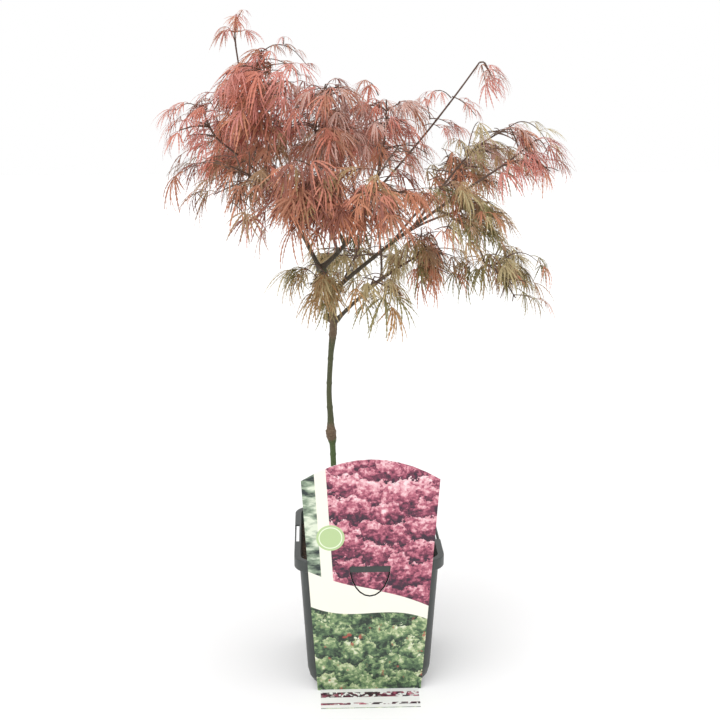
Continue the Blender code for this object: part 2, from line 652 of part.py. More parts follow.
def keep_whole(obj):
    """Drops what a union leaves loose or sealed inside, keeping the largest connected surface."""
    made = bmesh.new()
    made.from_mesh(obj.data)
    left = set(made.verts)
    islands = []
    while left:
        front = [left.pop()]
        island = set(front)
        while front:
            vertex = front.pop()
            for edge in vertex.link_edges:
                other = edge.other_vert(vertex)
                if other in left:
                    left.discard(other)
                    island.add(other)
                    front.append(other)
        islands.append(island)
    islands.sort(key=len, reverse=True)
    for island in islands[1:]:
        bmesh.ops.delete(made, geom=list(island), context="VERTS")
    made.to_mesh(obj.data)
    made.free()


def make_mass(mass, paths, middles, finish):
    """One mass as one solid: its stem, and the twigs and leaves that fit its room, joined by one union."""
    space = Space(mass.name, middles, paths)
    twigs = grow_twigs(mass, paths, space)
    leaves = grow_leaves(mass, twigs, space)
    stem, *side_twigs = twigs
    pieces = bpy.data.collections.new("pieces")
    bpy.context.scene.collection.children.link(pieces)
    for leaf, twig in leaves:
        if twig in side_twigs:
            solid = leaf_solid(leaf, twig.points, twig.radii)
        else:
            solid = leaf_solid(leaf, [leaf_points(leaf)[2]], [PETIOLE_RADIUS])
        object_of(solid, "leaf", collection=pieces)
    ended = [twig for _, twig in leaves]
    for twig in side_twigs:
        if twig not in ended:
            object_of(tube(twig.points, twig.radii, 3), "twig", collection=pieces)
    tip, before = paths[mass.bough][0][-1], paths[mass.bough][0][-2]
    foot_face = (stem.points[0], (tip - before).normalized())
    obj = object_of(tube(stem.points, stem.radii, STEM_SIDES, foot_face), mass.name, finish)
    join = obj.modifiers.new("join", "BOOLEAN")
    join.operation = "UNION"
    join.operand_type = "COLLECTION"
    join.collection = pieces
    bake_modifiers(obj)
    for piece in list(pieces.objects):
        bpy.data.objects.remove(piece, do_unlink=True)
    bpy.data.collections.remove(pieces)
    obj.data.materials.clear()
    obj.data.materials.append(finish)
    keep_whole(obj)


# ------------------------------------------------------------------ the whole plant
def main():
    clear_scene()
    plastic = material("pot_plastic", (0.035, 0.040, 0.038), 0.45)
    soil = material("compost", (0.045, 0.030, 0.020), 0.95)
    board = material("printed_board", (0.80, 0.55, 0.58), 0.40)
    bark = material("green_bark", (0.115, 0.125, 0.060), 0.60)
    twig_bark = material("dark_bark", (0.060, 0.045, 0.032), 0.60)
    foliage = material("foliage", (0.33, 0.12, 0.08), 0.55)
    make_pot(plastic)
    make_compost(soil)
    make_card(board)
    trunk_points, trunk_radii = make_trunk(bark)
    paths = make_limbs(trunk_points, trunk_radii, twig_bark)
    middles = {mass.name: middle_of(mass, paths) for mass in MASSES}
    for mass in MASSES:
        make_mass(mass, paths, middles, foliage)


main()
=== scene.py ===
"""Looks of a weeping cut-leaf maple, grafted on a short stem, in a square nursery pot with a printed card.

Metres, +Z up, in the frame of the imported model. The sections follow the plant as a nursery puts it together:
pot, compost, card, grafted stem, boughs, twigs and leaves. The last two are the floor and the light.
"""

import json
import math
import random
from collections import namedtuple

import bmesh
import bpy
from mathutils import Matrix, Vector

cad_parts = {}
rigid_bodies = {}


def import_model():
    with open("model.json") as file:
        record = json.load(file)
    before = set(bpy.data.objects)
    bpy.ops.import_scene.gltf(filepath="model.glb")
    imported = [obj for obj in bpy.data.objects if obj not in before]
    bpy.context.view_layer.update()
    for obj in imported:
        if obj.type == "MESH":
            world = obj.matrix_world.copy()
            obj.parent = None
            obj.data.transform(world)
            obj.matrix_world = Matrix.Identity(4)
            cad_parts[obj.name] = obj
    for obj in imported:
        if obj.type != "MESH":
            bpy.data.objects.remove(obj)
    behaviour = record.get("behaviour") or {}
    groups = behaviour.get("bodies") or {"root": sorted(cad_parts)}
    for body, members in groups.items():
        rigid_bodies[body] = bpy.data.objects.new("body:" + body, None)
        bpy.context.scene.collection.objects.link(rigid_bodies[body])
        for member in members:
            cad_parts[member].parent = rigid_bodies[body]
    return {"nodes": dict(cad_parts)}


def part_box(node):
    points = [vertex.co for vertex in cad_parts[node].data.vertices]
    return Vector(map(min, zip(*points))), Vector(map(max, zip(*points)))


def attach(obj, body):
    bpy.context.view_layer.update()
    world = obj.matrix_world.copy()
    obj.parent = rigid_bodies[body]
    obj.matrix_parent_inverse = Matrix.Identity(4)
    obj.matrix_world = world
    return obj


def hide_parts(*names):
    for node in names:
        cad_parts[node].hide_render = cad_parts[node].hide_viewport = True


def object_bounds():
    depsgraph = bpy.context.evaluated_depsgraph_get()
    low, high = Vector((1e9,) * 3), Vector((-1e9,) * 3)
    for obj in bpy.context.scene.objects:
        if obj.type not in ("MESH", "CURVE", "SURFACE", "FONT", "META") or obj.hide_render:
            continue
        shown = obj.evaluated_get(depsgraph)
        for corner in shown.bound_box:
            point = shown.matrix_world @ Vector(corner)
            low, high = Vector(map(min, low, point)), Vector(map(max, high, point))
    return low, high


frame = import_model()
cad_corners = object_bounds()

# ------------------------------------------------------------------------------------------------- camera
# A portrait lens, 1.6 m in front of the pot and level with the top of the crown. It looks down a little, so
# that the whole plant, the pot and the card's foot are in view.
CAMERA_PLACE = (-0.0719, -1.5914, 0.8733)
CAMERA_TURN, CAMERA_PITCH = math.radians(-2.25), math.radians(15.12)
FOCAL_PIXELS, PICTURE_PIXELS = 1231.3, 720


def placed(name, data):
    """An object in the scene with this data."""
    obj = bpy.data.objects.new(name, data)
    bpy.context.scene.collection.objects.link(obj)
    return obj


lens = bpy.data.cameras.new("camera")
lens.lens = lens.sensor_width * FOCAL_PIXELS / PICTURE_PIXELS
camera = placed("camera", lens)
camera.location = CAMERA_PLACE
camera.rotation_euler = (math.pi / 2 - CAMERA_PITCH, 0, CAMERA_TURN)
bpy.context.scene.camera = camera
bpy.context.scene.view_settings.view_transform = "Standard"

# ------------------------------------------------------------------------------------------------- pot
# A square tub of grey-black polypropylene, moulded in one shot. Its lip turns down all round, with a notch in
# the middle of each side for a card to hook into. The base turns in and has four drain holes.
UP = Vector((0, 0, 1))
GAP = 0.0003  # left between neighbouring pieces
SHARP_ANGLE = math.radians(40)
POT_HALF, POT_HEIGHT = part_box("pot")[1].x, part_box("pot")[1].z
LIP_DEPTH, LIP_WALL, LEDGE, LIP_ROUND = 0.015, 0.0018, 0.0022, 0.0011
WALL, WALL_TOP_HALF = 0.0021, 0.0935
BASE_PROFILE = ((0.068, 0.0), (0.0755, 0.006), (0.0805, 0.016), (0.0835, 0.030))  # half width, height
FLOOR, BASE_LIFT = 0.0026, 0.6  # floor's thickness, and what the base's sides gain inside, in walls
POT_CORNER, POT_CORNER_LEAST = 0.026, 0.012  # radius of the upright corners, at the lip and at the least
CORNER_STEPS = 12
NOTCH_LENGTH, NOTCH_DEPTH, NOTCH_PAST_LIP = 0.058, 0.0052, 0.004
DRAIN_RADIUS, DRAIN_PLACE, DRAIN_SIDES = 0.006, 0.040, 20
CLEAN_PLASTIC, DUSTY_PLASTIC = (0.030, 0.036, 0.034), (0.105, 0.112, 0.102)


class Wire:
    """The output of a node. Arithmetic on it adds Math nodes, so that a mask reads as its formula."""

    def __init__(self, graph, socket):
        self.graph = graph
        self.socket = socket

    def out(self, name):
        return Wire(self.graph, self.socket.node.outputs[name])

    def math(self, operation, *others):
        return self.graph.add("ShaderNodeMath", {"operation": operation}, self, *others)

    def __add__(self, other):
        return self.math("ADD", other)

    def __sub__(self, other):
        return self.math("SUBTRACT", other)

    def __mul__(self, other):
        return self.math("MULTIPLY", other)

    def __truediv__(self, other):
        return self.math("DIVIDE", other)

    def __pow__(self, other):
        return self.math("POWER", other)

    def __rsub__(self, other):
        return self.graph.add("ShaderNodeMath", {"operation": "SUBTRACT"}, other, self)

    def __rtruediv__(self, other):
        return self.graph.add("ShaderNodeMath", {"operation": "DIVIDE"}, other, self)

    __radd__ = __add__
    __rmul__ = __mul__

    def above(self, low, high):
        """0 under low, 1 over high, and smooth between them. It falls instead where low is over high."""
        smooth = {"interpolation_type": "SMOOTHSTEP"}
        return self.graph.add("ShaderNodeMapRange", smooth, self, low, high, 0.0, 1.0)


class Graph:
    """A node tree in the making, for a material or for geometry."""

    def __init__(self, tree):
        self.tree = tree

    def add(self, kind, settings, *values, **named):
        """A node: its settings first, then its inputs, in order or by name, as links or as plain values."""
        node = self.tree.nodes.new(kind)
        for key, value in settings.items():
            if key == "stops":
                self.set_stops(node.color_ramp, value)
            else:
                setattr(node, key, value)
        sockets = [socket for socket in node.inputs if socket.enabled]
        for socket, value in zip(sockets, values):
            self.feed(socket, value)
        for name, value in named.items():
            self.feed(next(s for s in sockets if s.name.lower() == name.replace("_", " ")), value)
        return Wire(self, next(socket for socket in node.outputs if socket.enabled))

    def vector_math(self, operation, first, second):
        return self.add("ShaderNodeVectorMath", {"operation": operation}, first, second)

    def scaled(self, vector, scale):
        return self.add("ShaderNodeVectorMath", {"operation": "SCALE"}, vector, scale=scale)

    def set_stops(self, ramp, stops):
        while len(ramp.elements) < len(stops):
            ramp.elements.new(1.0)
        for element, (place, color) in zip(ramp.elements, stops):
            element.position = place
            element.color = (*color, 1)

    def feed(self, socket, value):
        if isinstance(value, Wire):
            self.tree.links.new(value.socket, socket)
        elif socket.type == "RGBA":
            socket.default_value = (*value, 1)
        else:
            socket.default_value = value


class Paint(Graph):
    """A material with one Principled shader, whose patterns lie on Object coordinates in metres."""

    def __init__(self, name):
        self.material = bpy.data.materials.new(name)
        self.material.use_nodes = True
        super().__init__(self.material.node_tree)
        self.shader = self.tree.nodes["Principled BSDF"]
        self.place = self.add("ShaderNodeTexCoord", {}).out("Object")

    def set(self, **inputs):
        """Sets the shader's inputs, such as base_color or roughness, by links or plain values."""
        sockets = {socket.name.lower().replace(" ", "_"): socket for socket in self.shader.inputs}
        for name, value in inputs.items():
            self.feed(sockets[name], value)
        return self.material

    def axes(self, vector=None):
        parts = self.add("ShaderNodeSeparateXYZ", {}, vector or self.place)
        return parts, parts.out("Y"), parts.out("Z")

    def noise(self, scale, detail=2.0, roughness=0.5, at=None):
        return self.add("ShaderNodeTexNoise", {}, at or self.place, scale, detail, roughness)

    def mix(self, factor, low, high):
        return self.add("ShaderNodeMix", {"data_type": "RGBA"}, factor, low, high)

    def ramp(self, factor, *stops):
        return self.add("ShaderNodeValToRGB", {"stops": stops}, factor)

    def stretched(self, x, y, z, turn=0.0):
        """The place with each axis scaled, after a turn about the middle one."""
        return self.add("ShaderNodeMapping", {}, self.place, (0, 0, 0), (0, turn, 0), (x, y, z))

    def bump(self, height, depth):
        return self.add("ShaderNodeBump", {}, distance=depth, height=height)


def object_of(made, name, finish):
    """A smooth object with this finish, from a bmesh, which is freed."""
    bmesh.ops.recalc_face_normals(made, faces=made.faces)
    mesh = bpy.data.meshes.new(name)
    made.to_mesh(mesh)
    made.free()
    mesh.materials.append(finish)
    mesh.shade_smooth()
    mesh.set_sharp_from_angle(angle=SHARP_ANGLE)
    return placed(name, mesh)


def keep_evaluated(obj):
    """Keeps what the object's modifiers make of it as its plain mesh, and drops them."""
    bpy.context.view_layer.update()
    graph = bpy.context.evaluated_depsgraph_get()
    mesh = bpy.data.meshes.new_from_object(obj.evaluated_get(graph))
    obj.modifiers.clear()
    obj.data = mesh


def bridge(made, rings):
    """Faces between each ring of vertices and the next."""
    for lower, upper in zip(rings, rings[1:]):
        for i in range(len(lower)):
            j = (i + 1) % len(lower)
            made.faces.new((lower[i], lower[j], upper[j], upper[i]))


def square_ring(made, half, z):
    """Vertices round a square of this half width, with corners that tighten as it narrows."""
    corner = max(POT_CORNER - (POT_HALF - half), POT_CORNER_LEAST)
    ring = []
    for quarter in range(4):
        turn = Matrix.Rotation(math.pi / 2 * quarter, 2)
        for i in range(CORNER_STEPS + 1):
            a = math.pi / 2 * i / CORNER_STEPS
            middle = half - corner
            x, y = turn @ Vector((middle + corner * math.cos(a), middle + corner * math.sin(a)))
            ring.append(made.verts.new((x, y, z)))
    return ring


def base_inside(gap):
    """The profile of the base's inner side, or of what lies in it with this gap."""
    lifts = [FLOOR if z == 0 else WALL * BASE_LIFT for half, z in BASE_PROFILE]
    return [(half - (WALL + gap), z + gap + lift) for (half, z), lift in zip(BASE_PROFILE, lifts)]


def rounded(half, z, radius, start, steps=4):
    """A quarter round in the profile: (half width, height) pairs about a centre, from a start in degrees."""
    turns = [math.radians(start + 90 * i / steps) for i in range(steps + 1)]
    return [(half + radius * math.cos(a), z + radius * math.sin(a)) for a in turns]


def cut_away(obj, outline, z, height, turn):
    """Cuts an upright prism of this outline from the object, after a turn about Z."""
    made = bmesh.new()
    low = [made.verts.new(turn @ Vector((x, y, z))) for x, y in outline]
    high = [made.verts.new(turn @ Vector((x, y, z + height))) for x, y in outline]
    made.faces.new(low)
    made.faces.new(high)
    bridge(made, [low, high])
    cutter = object_of(made, "cutter", plastic)
    step = obj.modifiers.new("cut", "BOOLEAN")
    step.operation = "DIFFERENCE"
    step.object = cutter
    keep_evaluated(obj)
    bpy.data.objects.remove(cutter, do_unlink=True)


paint = Paint("pot_plastic")
height = paint.axes()[2]
cloud = paint.noise(14, 4)
mould_grain = paint.noise(1400, 2)
scuffs = paint.noise(1, 3, at=paint.stretched(420, 420, 30)).above(0.60, 0.72)
water_line = paint.noise(60, 4).above(0.45, 0.65) * height.above(0.060, 0.004)
dust = (scuffs * 0.25 + water_line * 0.5 + cloud * 0.25).math("MINIMUM", 1.0)
plastic = paint.set(
    base_color=paint.mix(dust, CLEAN_PLASTIC, DUSTY_PLASTIC),
    roughness=0.34 + cloud * 0.12 + dust * 0.2,
    normal=paint.bump(mould_grain * 0.5 + scuffs * 0.5, 0.00008),
)

under_lip = POT_HEIGHT - LIP_DEPTH
pot_profile = [
    *BASE_PROFILE,
    (WALL_TOP_HALF, POT_HEIGHT - LEDGE),
    (POT_HALF - LIP_WALL, POT_HEIGHT - LEDGE),
    *rounded(POT_HALF - LIP_WALL / 2, under_lip + LIP_WALL / 2, LIP_WALL / 2, 180, 3),
    *rounded(POT_HALF - LIP_WALL / 2, under_lip + LIP_WALL / 2, LIP_WALL / 2, 270, 3)[1:],
    *rounded(POT_HALF - LIP_ROUND, POT_HEIGHT - LIP_ROUND, LIP_ROUND, 0),
    *rounded(WALL_TOP_HALF - WALL + LIP_ROUND, POT_HEIGHT - LIP_ROUND, LIP_ROUND, 90),
    *reversed(base_inside(0)),
]
made = bmesh.new()
rings = [square_ring(made, half, z) for half, z in pot_profile]
bridge(made, rings)
made.faces.new(rings[0])
made.faces.new(rings[-1])
pot = object_of(made, "pot_tub", plastic)
near, far, end = WALL_TOP_HALF + GAP, POT_HALF + NOTCH_PAST_LIP, NOTCH_LENGTH / 2
notch = [(near, -end), (far, -end), (far, end), (near, end)]
drain = []
for i in range(DRAIN_SIDES):
    a = 2 * math.pi * i / DRAIN_SIDES
    drain.append((DRAIN_PLACE + DRAIN_RADIUS * math.cos(a), DRAIN_PLACE + DRAIN_RADIUS * math.sin(a)))
for quarter in range(4):
    turn = Matrix.Rotation(math.pi / 2 * quarter, 4, "Z")
    cut_away(pot, notch, POT_HEIGHT - NOTCH_DEPTH, 2 * NOTCH_DEPTH, turn)
    cut_away(pot, drain, -FLOOR, 3 * FLOOR, turn)
pot.data.set_sharp_from_angle(angle=SHARP_ANGLE)
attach(pot, "root")
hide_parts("pot")

# ------------------------------------------------------------------------------------------------- compost
# Peat with fine bark, tipped in round the roots and settled by watering, so the top is uneven. Crumbs and a
# few white grains of perlite lie loose on it.
COMPOST_HALF, COMPOST_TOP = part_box("compost")[1].x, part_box("compost")[1].z
COMPOST_EDGE = 0.002  # how far the fill stands higher than where it meets the wall
COMPOST_RINGS, COMPOST_DIP = 26, 0.0045
CRUMB_DENSITY, PERLITE_DENSITY = 42000.0, 2600.0  # to a square metre
CRUMB_LEAST, CRUMB_MOST = 0.0011, 0.0034
CRUMB_TURNS, CRUMB_SIDES = (6.28, 6.28, 6.28), (0.4, 0.4, 0.4)  # greatest turns, and least sides in sizes


class Growth(Graph):
    """A Geometry Nodes tree with named inputs, which turns an object's mesh into another plain mesh."""

    def __init__(self, name):
        super().__init__(bpy.data.node_groups.new(name, "GeometryNodeTree"))
        self.tree.interface.new_socket("geometry", in_out="OUTPUT", socket_type="NodeSocketGeometry")
        self.entry = self.tree.nodes.new("NodeGroupInput")
        self.start = self.input("geometry", "Geometry")

    def input(self, name, kind):
        self.tree.interface.new_socket(name, in_out="INPUT", socket_type="NodeSocket" + kind)
        return Wire(self, self.entry.outputs[name])

    def inputs(self, **kinds):
        return [self.input(name, kind) for name, kind in kinds.items()]

    def attribute(self, name, kind="FLOAT"):
        return self.add("GeometryNodeInputNamedAttribute", {"data_type": kind}, name)

    def store(self, geometry, name, value, kind="FLOAT"):
        settings = {"data_type": kind}
        return self.add("GeometryNodeStoreNamedAttribute", settings, geometry, name=name, value=value)

    def random(self, kind, least, most, seed):
        return self.add("FunctionNodeRandomValue", {"data_type": kind}, least, most, seed=seed)

    def vector(self, x, y, z):
        return self.add("ShaderNodeCombineXYZ", {}, x, y, z)

    def noise(self, at, scale=1.0, detail=2.0):
        return self.add("ShaderNodeTexNoise", {}, at, scale, detail)

    def finish(self, geometry, finishes, chosen_by=None):
        """Realizes the geometry and sets its material, or one of several, by a whole number on each point."""
        made = self.add("GeometryNodeRealizeInstances", {}, geometry)
        for number, finish in enumerate(finishes):
            made = self.add("GeometryNodeSetMaterial", {}, made, material=finish)
            if chosen_by:
                same = {"data_type": "FLOAT", "operation": "EQUAL"}
                chosen = self.add("FunctionNodeCompare", same, chosen_by, float(number), epsilon=0.4)
                self.feed(made.socket.node.inputs["Selection"], chosen)
        self.feed(self.tree.nodes.new("NodeGroupOutput").inputs[0], made)

    def run(self, obj, **values):
        """Runs the tree on the object with these inputs, and keeps the result as its plain mesh."""
        step = obj.modifiers.new(self.tree.name, "NODES")
        step.node_group = self.tree
        for item in self.tree.interface.items_tree:
            if item.in_out == "INPUT" and item.name in values:
                step[item.identifier] = values[item.name]
        keep_evaluated(obj)


paint = Paint("compost")
crumb_tone = paint.noise(260, 5, 0.65)
damp = paint.noise(22, 3)
compost_finish = paint.set(
    base_color=paint.ramp(
        crumb_tone * 0.75 + damp * 0.25,
        (0.36, (0.010, 0.007, 0.005)),
        (0.50, (0.040, 0.025, 0.016)),
        (0.64, (0.110, 0.070, 0.042)),
    ),
    roughness=0.92,
    normal=paint.bump(paint.noise(900, 4, 0.6), 0.0006),
)

paint = Paint("perlite")
perlite_finish = paint.set(
    base_color=paint.mix(paint.noise(500), (0.62, 0.60, 0.54), (0.86, 0.85, 0.80)),
    roughness=0.9,
    normal=paint.bump(paint.noise(1500), 0.0003),
)

made = bmesh.new()
rings = [square_ring(made, half, z) for half, z in base_inside(GAP)]
rings.append(square_ring(made, COMPOST_HALF, COMPOST_TOP - COMPOST_EDGE))
for i in range(COMPOST_RINGS):
    share = 1 - i / COMPOST_RINGS
    rings.append(square_ring(made, COMPOST_HALF * share, COMPOST_TOP))
bridge(made, rings)
made.faces.new(rings[0])
made.faces.new(rings[-1])
compost = object_of(made, "compost_fill", compost_finish)

settle = Growth("settle")
depth, soil = settle.inputs(depth="Float", finish="Material")
place = settle.add("GeometryNodeInputPosition", {})
lumps = settle.noise(place, 38.0, 3.0) * 0.55 + settle.noise(place, 240.0, 4.0) * 0.35
height = settle.add("ShaderNodeSeparateXYZ", {}, place).out("Z")
on_top = height.above(COMPOST_TOP - 0.0025, COMPOST_TOP - 0.0005)
drop = settle.vector(0.0, 0.0, (lumps - 0.95) * on_top * depth)
settle.finish(settle.add("GeometryNodeSetPosition", {}, settle.start, offset=drop), [soil])

scatter = Growth("scatter")
density, least, most = scatter.inputs(density="Float", least="Float", most="Float")
seed, grit = scatter.inputs(seed="Int", finish="Material")
facing = scatter.add("ShaderNodeSeparateXYZ", {}, scatter.add("GeometryNodeInputNormal", {})).out("Z")
level = scatter.add("FunctionNodeCompare", {"operation": "GREATER_THAN"}, facing, 0.6)
seats = scatter.add("GeometryNodeDistributePointsOnFaces", {}, scatter.start, level, density, seed)
turn = scatter.random("FLOAT_VECTOR", (0, 0, 0), CRUMB_TURNS, seed)
side = scatter.random("FLOAT_VECTOR", CRUMB_SIDES, (1, 1, 1), seed)
size = scatter.random("FLOAT", least, most, seed)
crumb = scatter.add("GeometryNodeMeshIcoSphere", {}, 0.5, 1)
crumbs = scatter.add(
    "GeometryNodeInstanceOnPoints",
    {},
    seats,
    instance=crumb,
    rotation=scatter.add("FunctionNodeEulerToRotation", {}, turn),
    scale=scatter.scaled(side, size),
)
scatter.finish(crumbs, [grit])

settle.run(compost, depth=COMPOST_DIP, finish=compost_finish)
compost.data.shade_smooth()
loose = {
    "compost_crumbs": (CRUMB_DENSITY, CRUMB_LEAST, CRUMB_MOST, 3, compost_finish),
    "compost_perlite": (PERLITE_DENSITY, CRUMB_LEAST, CRUMB_LEAST * 2, 8, perlite_finish),
}
for name, (density, least, most, seed, finish) in loose.items():
    grains = placed(name, compost.data.copy())
    scatter.run(grains, density=density, least=least, most=most, seed=seed, finish=finish)
    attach(grains, "root")
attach(compost, "root")
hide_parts("compost")

# ------------------------------------------------------------------------------------------------- card
# A laminated display card. It leans on the pot's front with its half-round tab hooked behind the lip, and its
# foot is folded out over the ground. A plain garden pattern is printed on the front, and the back is white.
CARD_HALF, CARD_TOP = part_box("card")[1].x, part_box("card")[1].z
CREAM, WHITE = (0.86, 0.84, 0.74), (0.88, 0.88, 0.87)
DISC_GREEN, DISC_RING = (0.46, 0.60, 0.30), (0.78, 0.86, 0.66)
DISC_PLACE, DISC_RADIUS, DISC_SOFT = (-0.052, 0.232), 0.0185, 0.0003
LAWN_EDGE, LAWN_SLOPE, LAWN_WAVE = 0.40, 0.10, 0.035  # as shares of the card's height
BAND_PLACE, BAND_SLANT, BAND_HALF = -0.62, 0.22, 0.085  # as shares of half its width

paint = Paint("printed_board")
x, y, z = paint.axes()
across, up = x / CARD_HALF, z / CARD_TOP
leaflet = paint.add("ShaderNodeTexVoronoi", {}, paint.stretched(1, 1, 1.3, 0.6), 230.0)
fleck = paint.axes(leaflet.out("Color"))[0]


def bushes(scale, grain):
    """Rounded bushes of about 1/scale metres, lit from above and dark where they meet, from 0 to about 1."""
    at = paint.vector_math("ADD", paint.place, paint.scaled(paint.noise(55, 4, 0.65).out("Color"), 0.045))
    bush = paint.add("ShaderNodeTexVoronoi", {}, at, scale)
    lit = (paint.axes(at)[2] - paint.axes(bush.out("Position"))[2]) * scale * 0.45
    return 0.55 + lit - bush * 0.30 + (paint.noise(grain, 3, 0.6) - 0.5) * 0.9 + (fleck - 0.5) * 0.25


blossom = paint.ramp(
    bushes(32.0, 150) + (up - 0.7) * 0.35,
    (0.10, (0.035, 0.012, 0.028)),
    (0.32, (0.200, 0.035, 0.075)),
    (0.48, (0.480, 0.130, 0.190)),
    (0.62, (0.720, 0.350, 0.400)),
    (0.82, (0.880, 0.680, 0.700)),
)
border = paint.ramp(
    bushes(44.0, 120),
    (0.10, (0.018, 0.032, 0.022)),
    (0.32, (0.070, 0.130, 0.065)),
    (0.50, (0.190, 0.290, 0.130)),
    (0.66, (0.500, 0.560, 0.320)),
    (0.88, (0.820, 0.820, 0.700)),
)
poppies = paint.noise(90, 3).above(0.64, 0.70) * up.above(0.38, 0.24)
border = paint.mix(poppies * 0.8, border, (0.400, 0.080, 0.060))
# The lawn below a rising edge, a cream ribbon along it, and a second ribbon up the left side.
edge = LAWN_EDGE - across * LAWN_SLOPE + (across * 2.2).math("SINE") * LAWN_WAVE
ribbon_width = 0.030 + (across * -1.0).above(-0.9, 0.9) * 0.045
lawn = up.above(edge + 0.004, edge - 0.004)
ribbon = (up - edge).math("ABSOLUTE").math("LESS_THAN", ribbon_width)
band_middle = BAND_PLACE - (up - 0.45) * BAND_SLANT
over_lawn = up.above(edge, edge + 0.01)
band = (across - band_middle).math("ABSOLUTE").math("LESS_THAN", BAND_HALF) * over_lawn
beyond = across.math("LESS_THAN", band_middle) * over_lawn
glade = paint.ramp(
    paint.noise(34, 4, 0.6, at=paint.stretched(1, 1, 2.6)),
    (0.38, (0.020, 0.032, 0.030)),
    (0.50, (0.260, 0.340, 0.240)),
    (0.62, (0.700, 0.760, 0.610)),
)
picture = paint.mix(lawn, blossom, border)
picture = paint.mix(beyond, picture, glade)
picture = paint.mix(ribbon, picture, CREAM)
picture = paint.mix(band, picture, CREAM)
from_disc = ((x - DISC_PLACE[0]) ** 2.0 + (z - DISC_PLACE[1]) ** 2.0) ** 0.5
disc = from_disc.above(DISC_RADIUS + DISC_SOFT, DISC_RADIUS - DISC_SOFT)
from_ring = (from_disc - DISC_RADIUS * 0.8).math("ABSOLUTE")
picture = paint.mix(disc, picture, DISC_GREEN)
picture = paint.mix(disc * from_ring.above(0.0009, 0.0005), picture, DISC_RING)
# The folded foot is white with two mottled stripes, at these distances from its free edge.
from_free_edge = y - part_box("card")[0].y
stripe = from_free_edge.above(0.007, 0.008) * from_free_edge.above(0.013, 0.012)
stripe = stripe + from_free_edge.above(0.026, 0.027) * from_free_edge.above(0.040, 0.039)
foot_print = paint.mix(stripe * fleck.above(0.15, 0.35), WHITE, blossom)
on_foot = z.above(0.0030, 0.0020)
facing = paint.axes(paint.add("ShaderNodeNewGeometry", {}).out("Normal"))
printed = (facing[1] * -1.0).above(0.3, 0.6)
picture = paint.mix(printed, WHITE, picture)
picture = paint.mix(on_foot * facing[2].above(0.3, 0.6), picture, foot_print)
card_finish = paint.set(
    base_color=picture,
    roughness=0.30 + paint.noise(30, 2) * 0.10,
    normal=paint.bump(paint.noise(24, 2), 0.0006),
)
card = frame["nodes"]["card"]
card.data.materials.clear()
card.data.materials.append(card_finish)

# ------------------------------------------------------------------------------------------------- stem
# The grafted stem, from the compost to the head. The rootstock below the graft has bright green bark, with a
# knobbly brown callus round the union. Above it the bark is olive, and the stem is swollen and brown at the
# head, where the old top was sawn off short.
Station = namedtuple("Station", "z x y radius knob")
STEM = (
    Station(0.1740, -0.0403, 0.0000, 0.0100, 0.5),
    Station(0.1783, -0.0405, 0.0000, 0.0086, 0.5),
    Station(0.1880, -0.0415, 0.0005, 0.0060, 0.2),
    Station(0.2150, -0.0435, 0.0010, 0.0046, 0.0),
    Station(0.3180, -0.0465, 0.0015, 0.0040, 0.1),
    Station(0.3400, -0.0490, -0.0005, 0.0063, 1.0),
    Station(0.3620, -0.0492, 0.0005, 0.0043, 0.2),
    Station(0.4000, -0.0510, 0.0010, 0.0036, 0.0),
    Station(0.4500, -0.0485, 0.0000, 0.0037, 0.0),
    Station(0.4900, -0.0448, -0.0005, 0.0053, 0.8),
    Station(0.5150, -0.0470, 0.0000, 0.0049, 0.5),
    Station(0.5700, -0.0575, 0.0000, 0.0037, 0.2),
)
SOURCE_STEM = STEM[1:]  # the line that the boughs' places are shares of
STEM_STEPS, STEM_FINE_STEPS = 2, 16
BURR_HEIGHT, BURR_REACH, BURR_RADIUS = 0.338, 0.017, 0.0066  # the swelling round the graft
STUB_FOOT, STUB_WAY = Vector((-0.0450, -0.0005, 0.498)), Vector((-0.86, 0.12, 0.50)).normalized()
STUB_LENGTH, STUB_RADIUS = 0.0135, 0.0047
CUT_DEPTH, CUT_SHARES = 0.0006, (0.86, 0.74)  # of the sawn face, and its radii as shares of the stub's


def smooth_through(rows, steps):
    """Rows of numbers along a Catmull-Rom curve through the given ones, steps to each span."""
    rows = [Vector(row) for row in rows]
    rows = [2 * rows[0] - rows[1], *rows, 2 * rows[-1] - rows[-2]]
    found = []
    for a, b, c, d in zip(rows, rows[1:], rows[2:], rows[3:]):
        for i in range(steps):
            t = i / steps
            bend = (2 * a - 5 * b + 4 * c - d) * t**2 + (3 * b - a - 3 * c + d) * t**3
            found.append(0.5 * (2 * b + (c - a) * t + bend))
    found.append(rows[-2])
    return found


def path_object(name, lines):
    """Paths as one mesh of edges. Each line is a list of (point, radius, knob)."""
    points = [row for line in lines for row in line]
    edges, first = [], 0
    for line in lines:
        edges += [(first + i, first + i + 1) for i in range(len(line) - 1)]
        first += len(line)
    mesh = bpy.data.meshes.new(name)
    mesh.from_pydata([row[0] for row in points], edges, [])
    for key, place in (("girth", 1), ("knob", 2)):
        mesh.attributes.new(key, "FLOAT", "POINT").data.foreach_set("value", [row[place] for row in points])
    return placed(name, mesh)


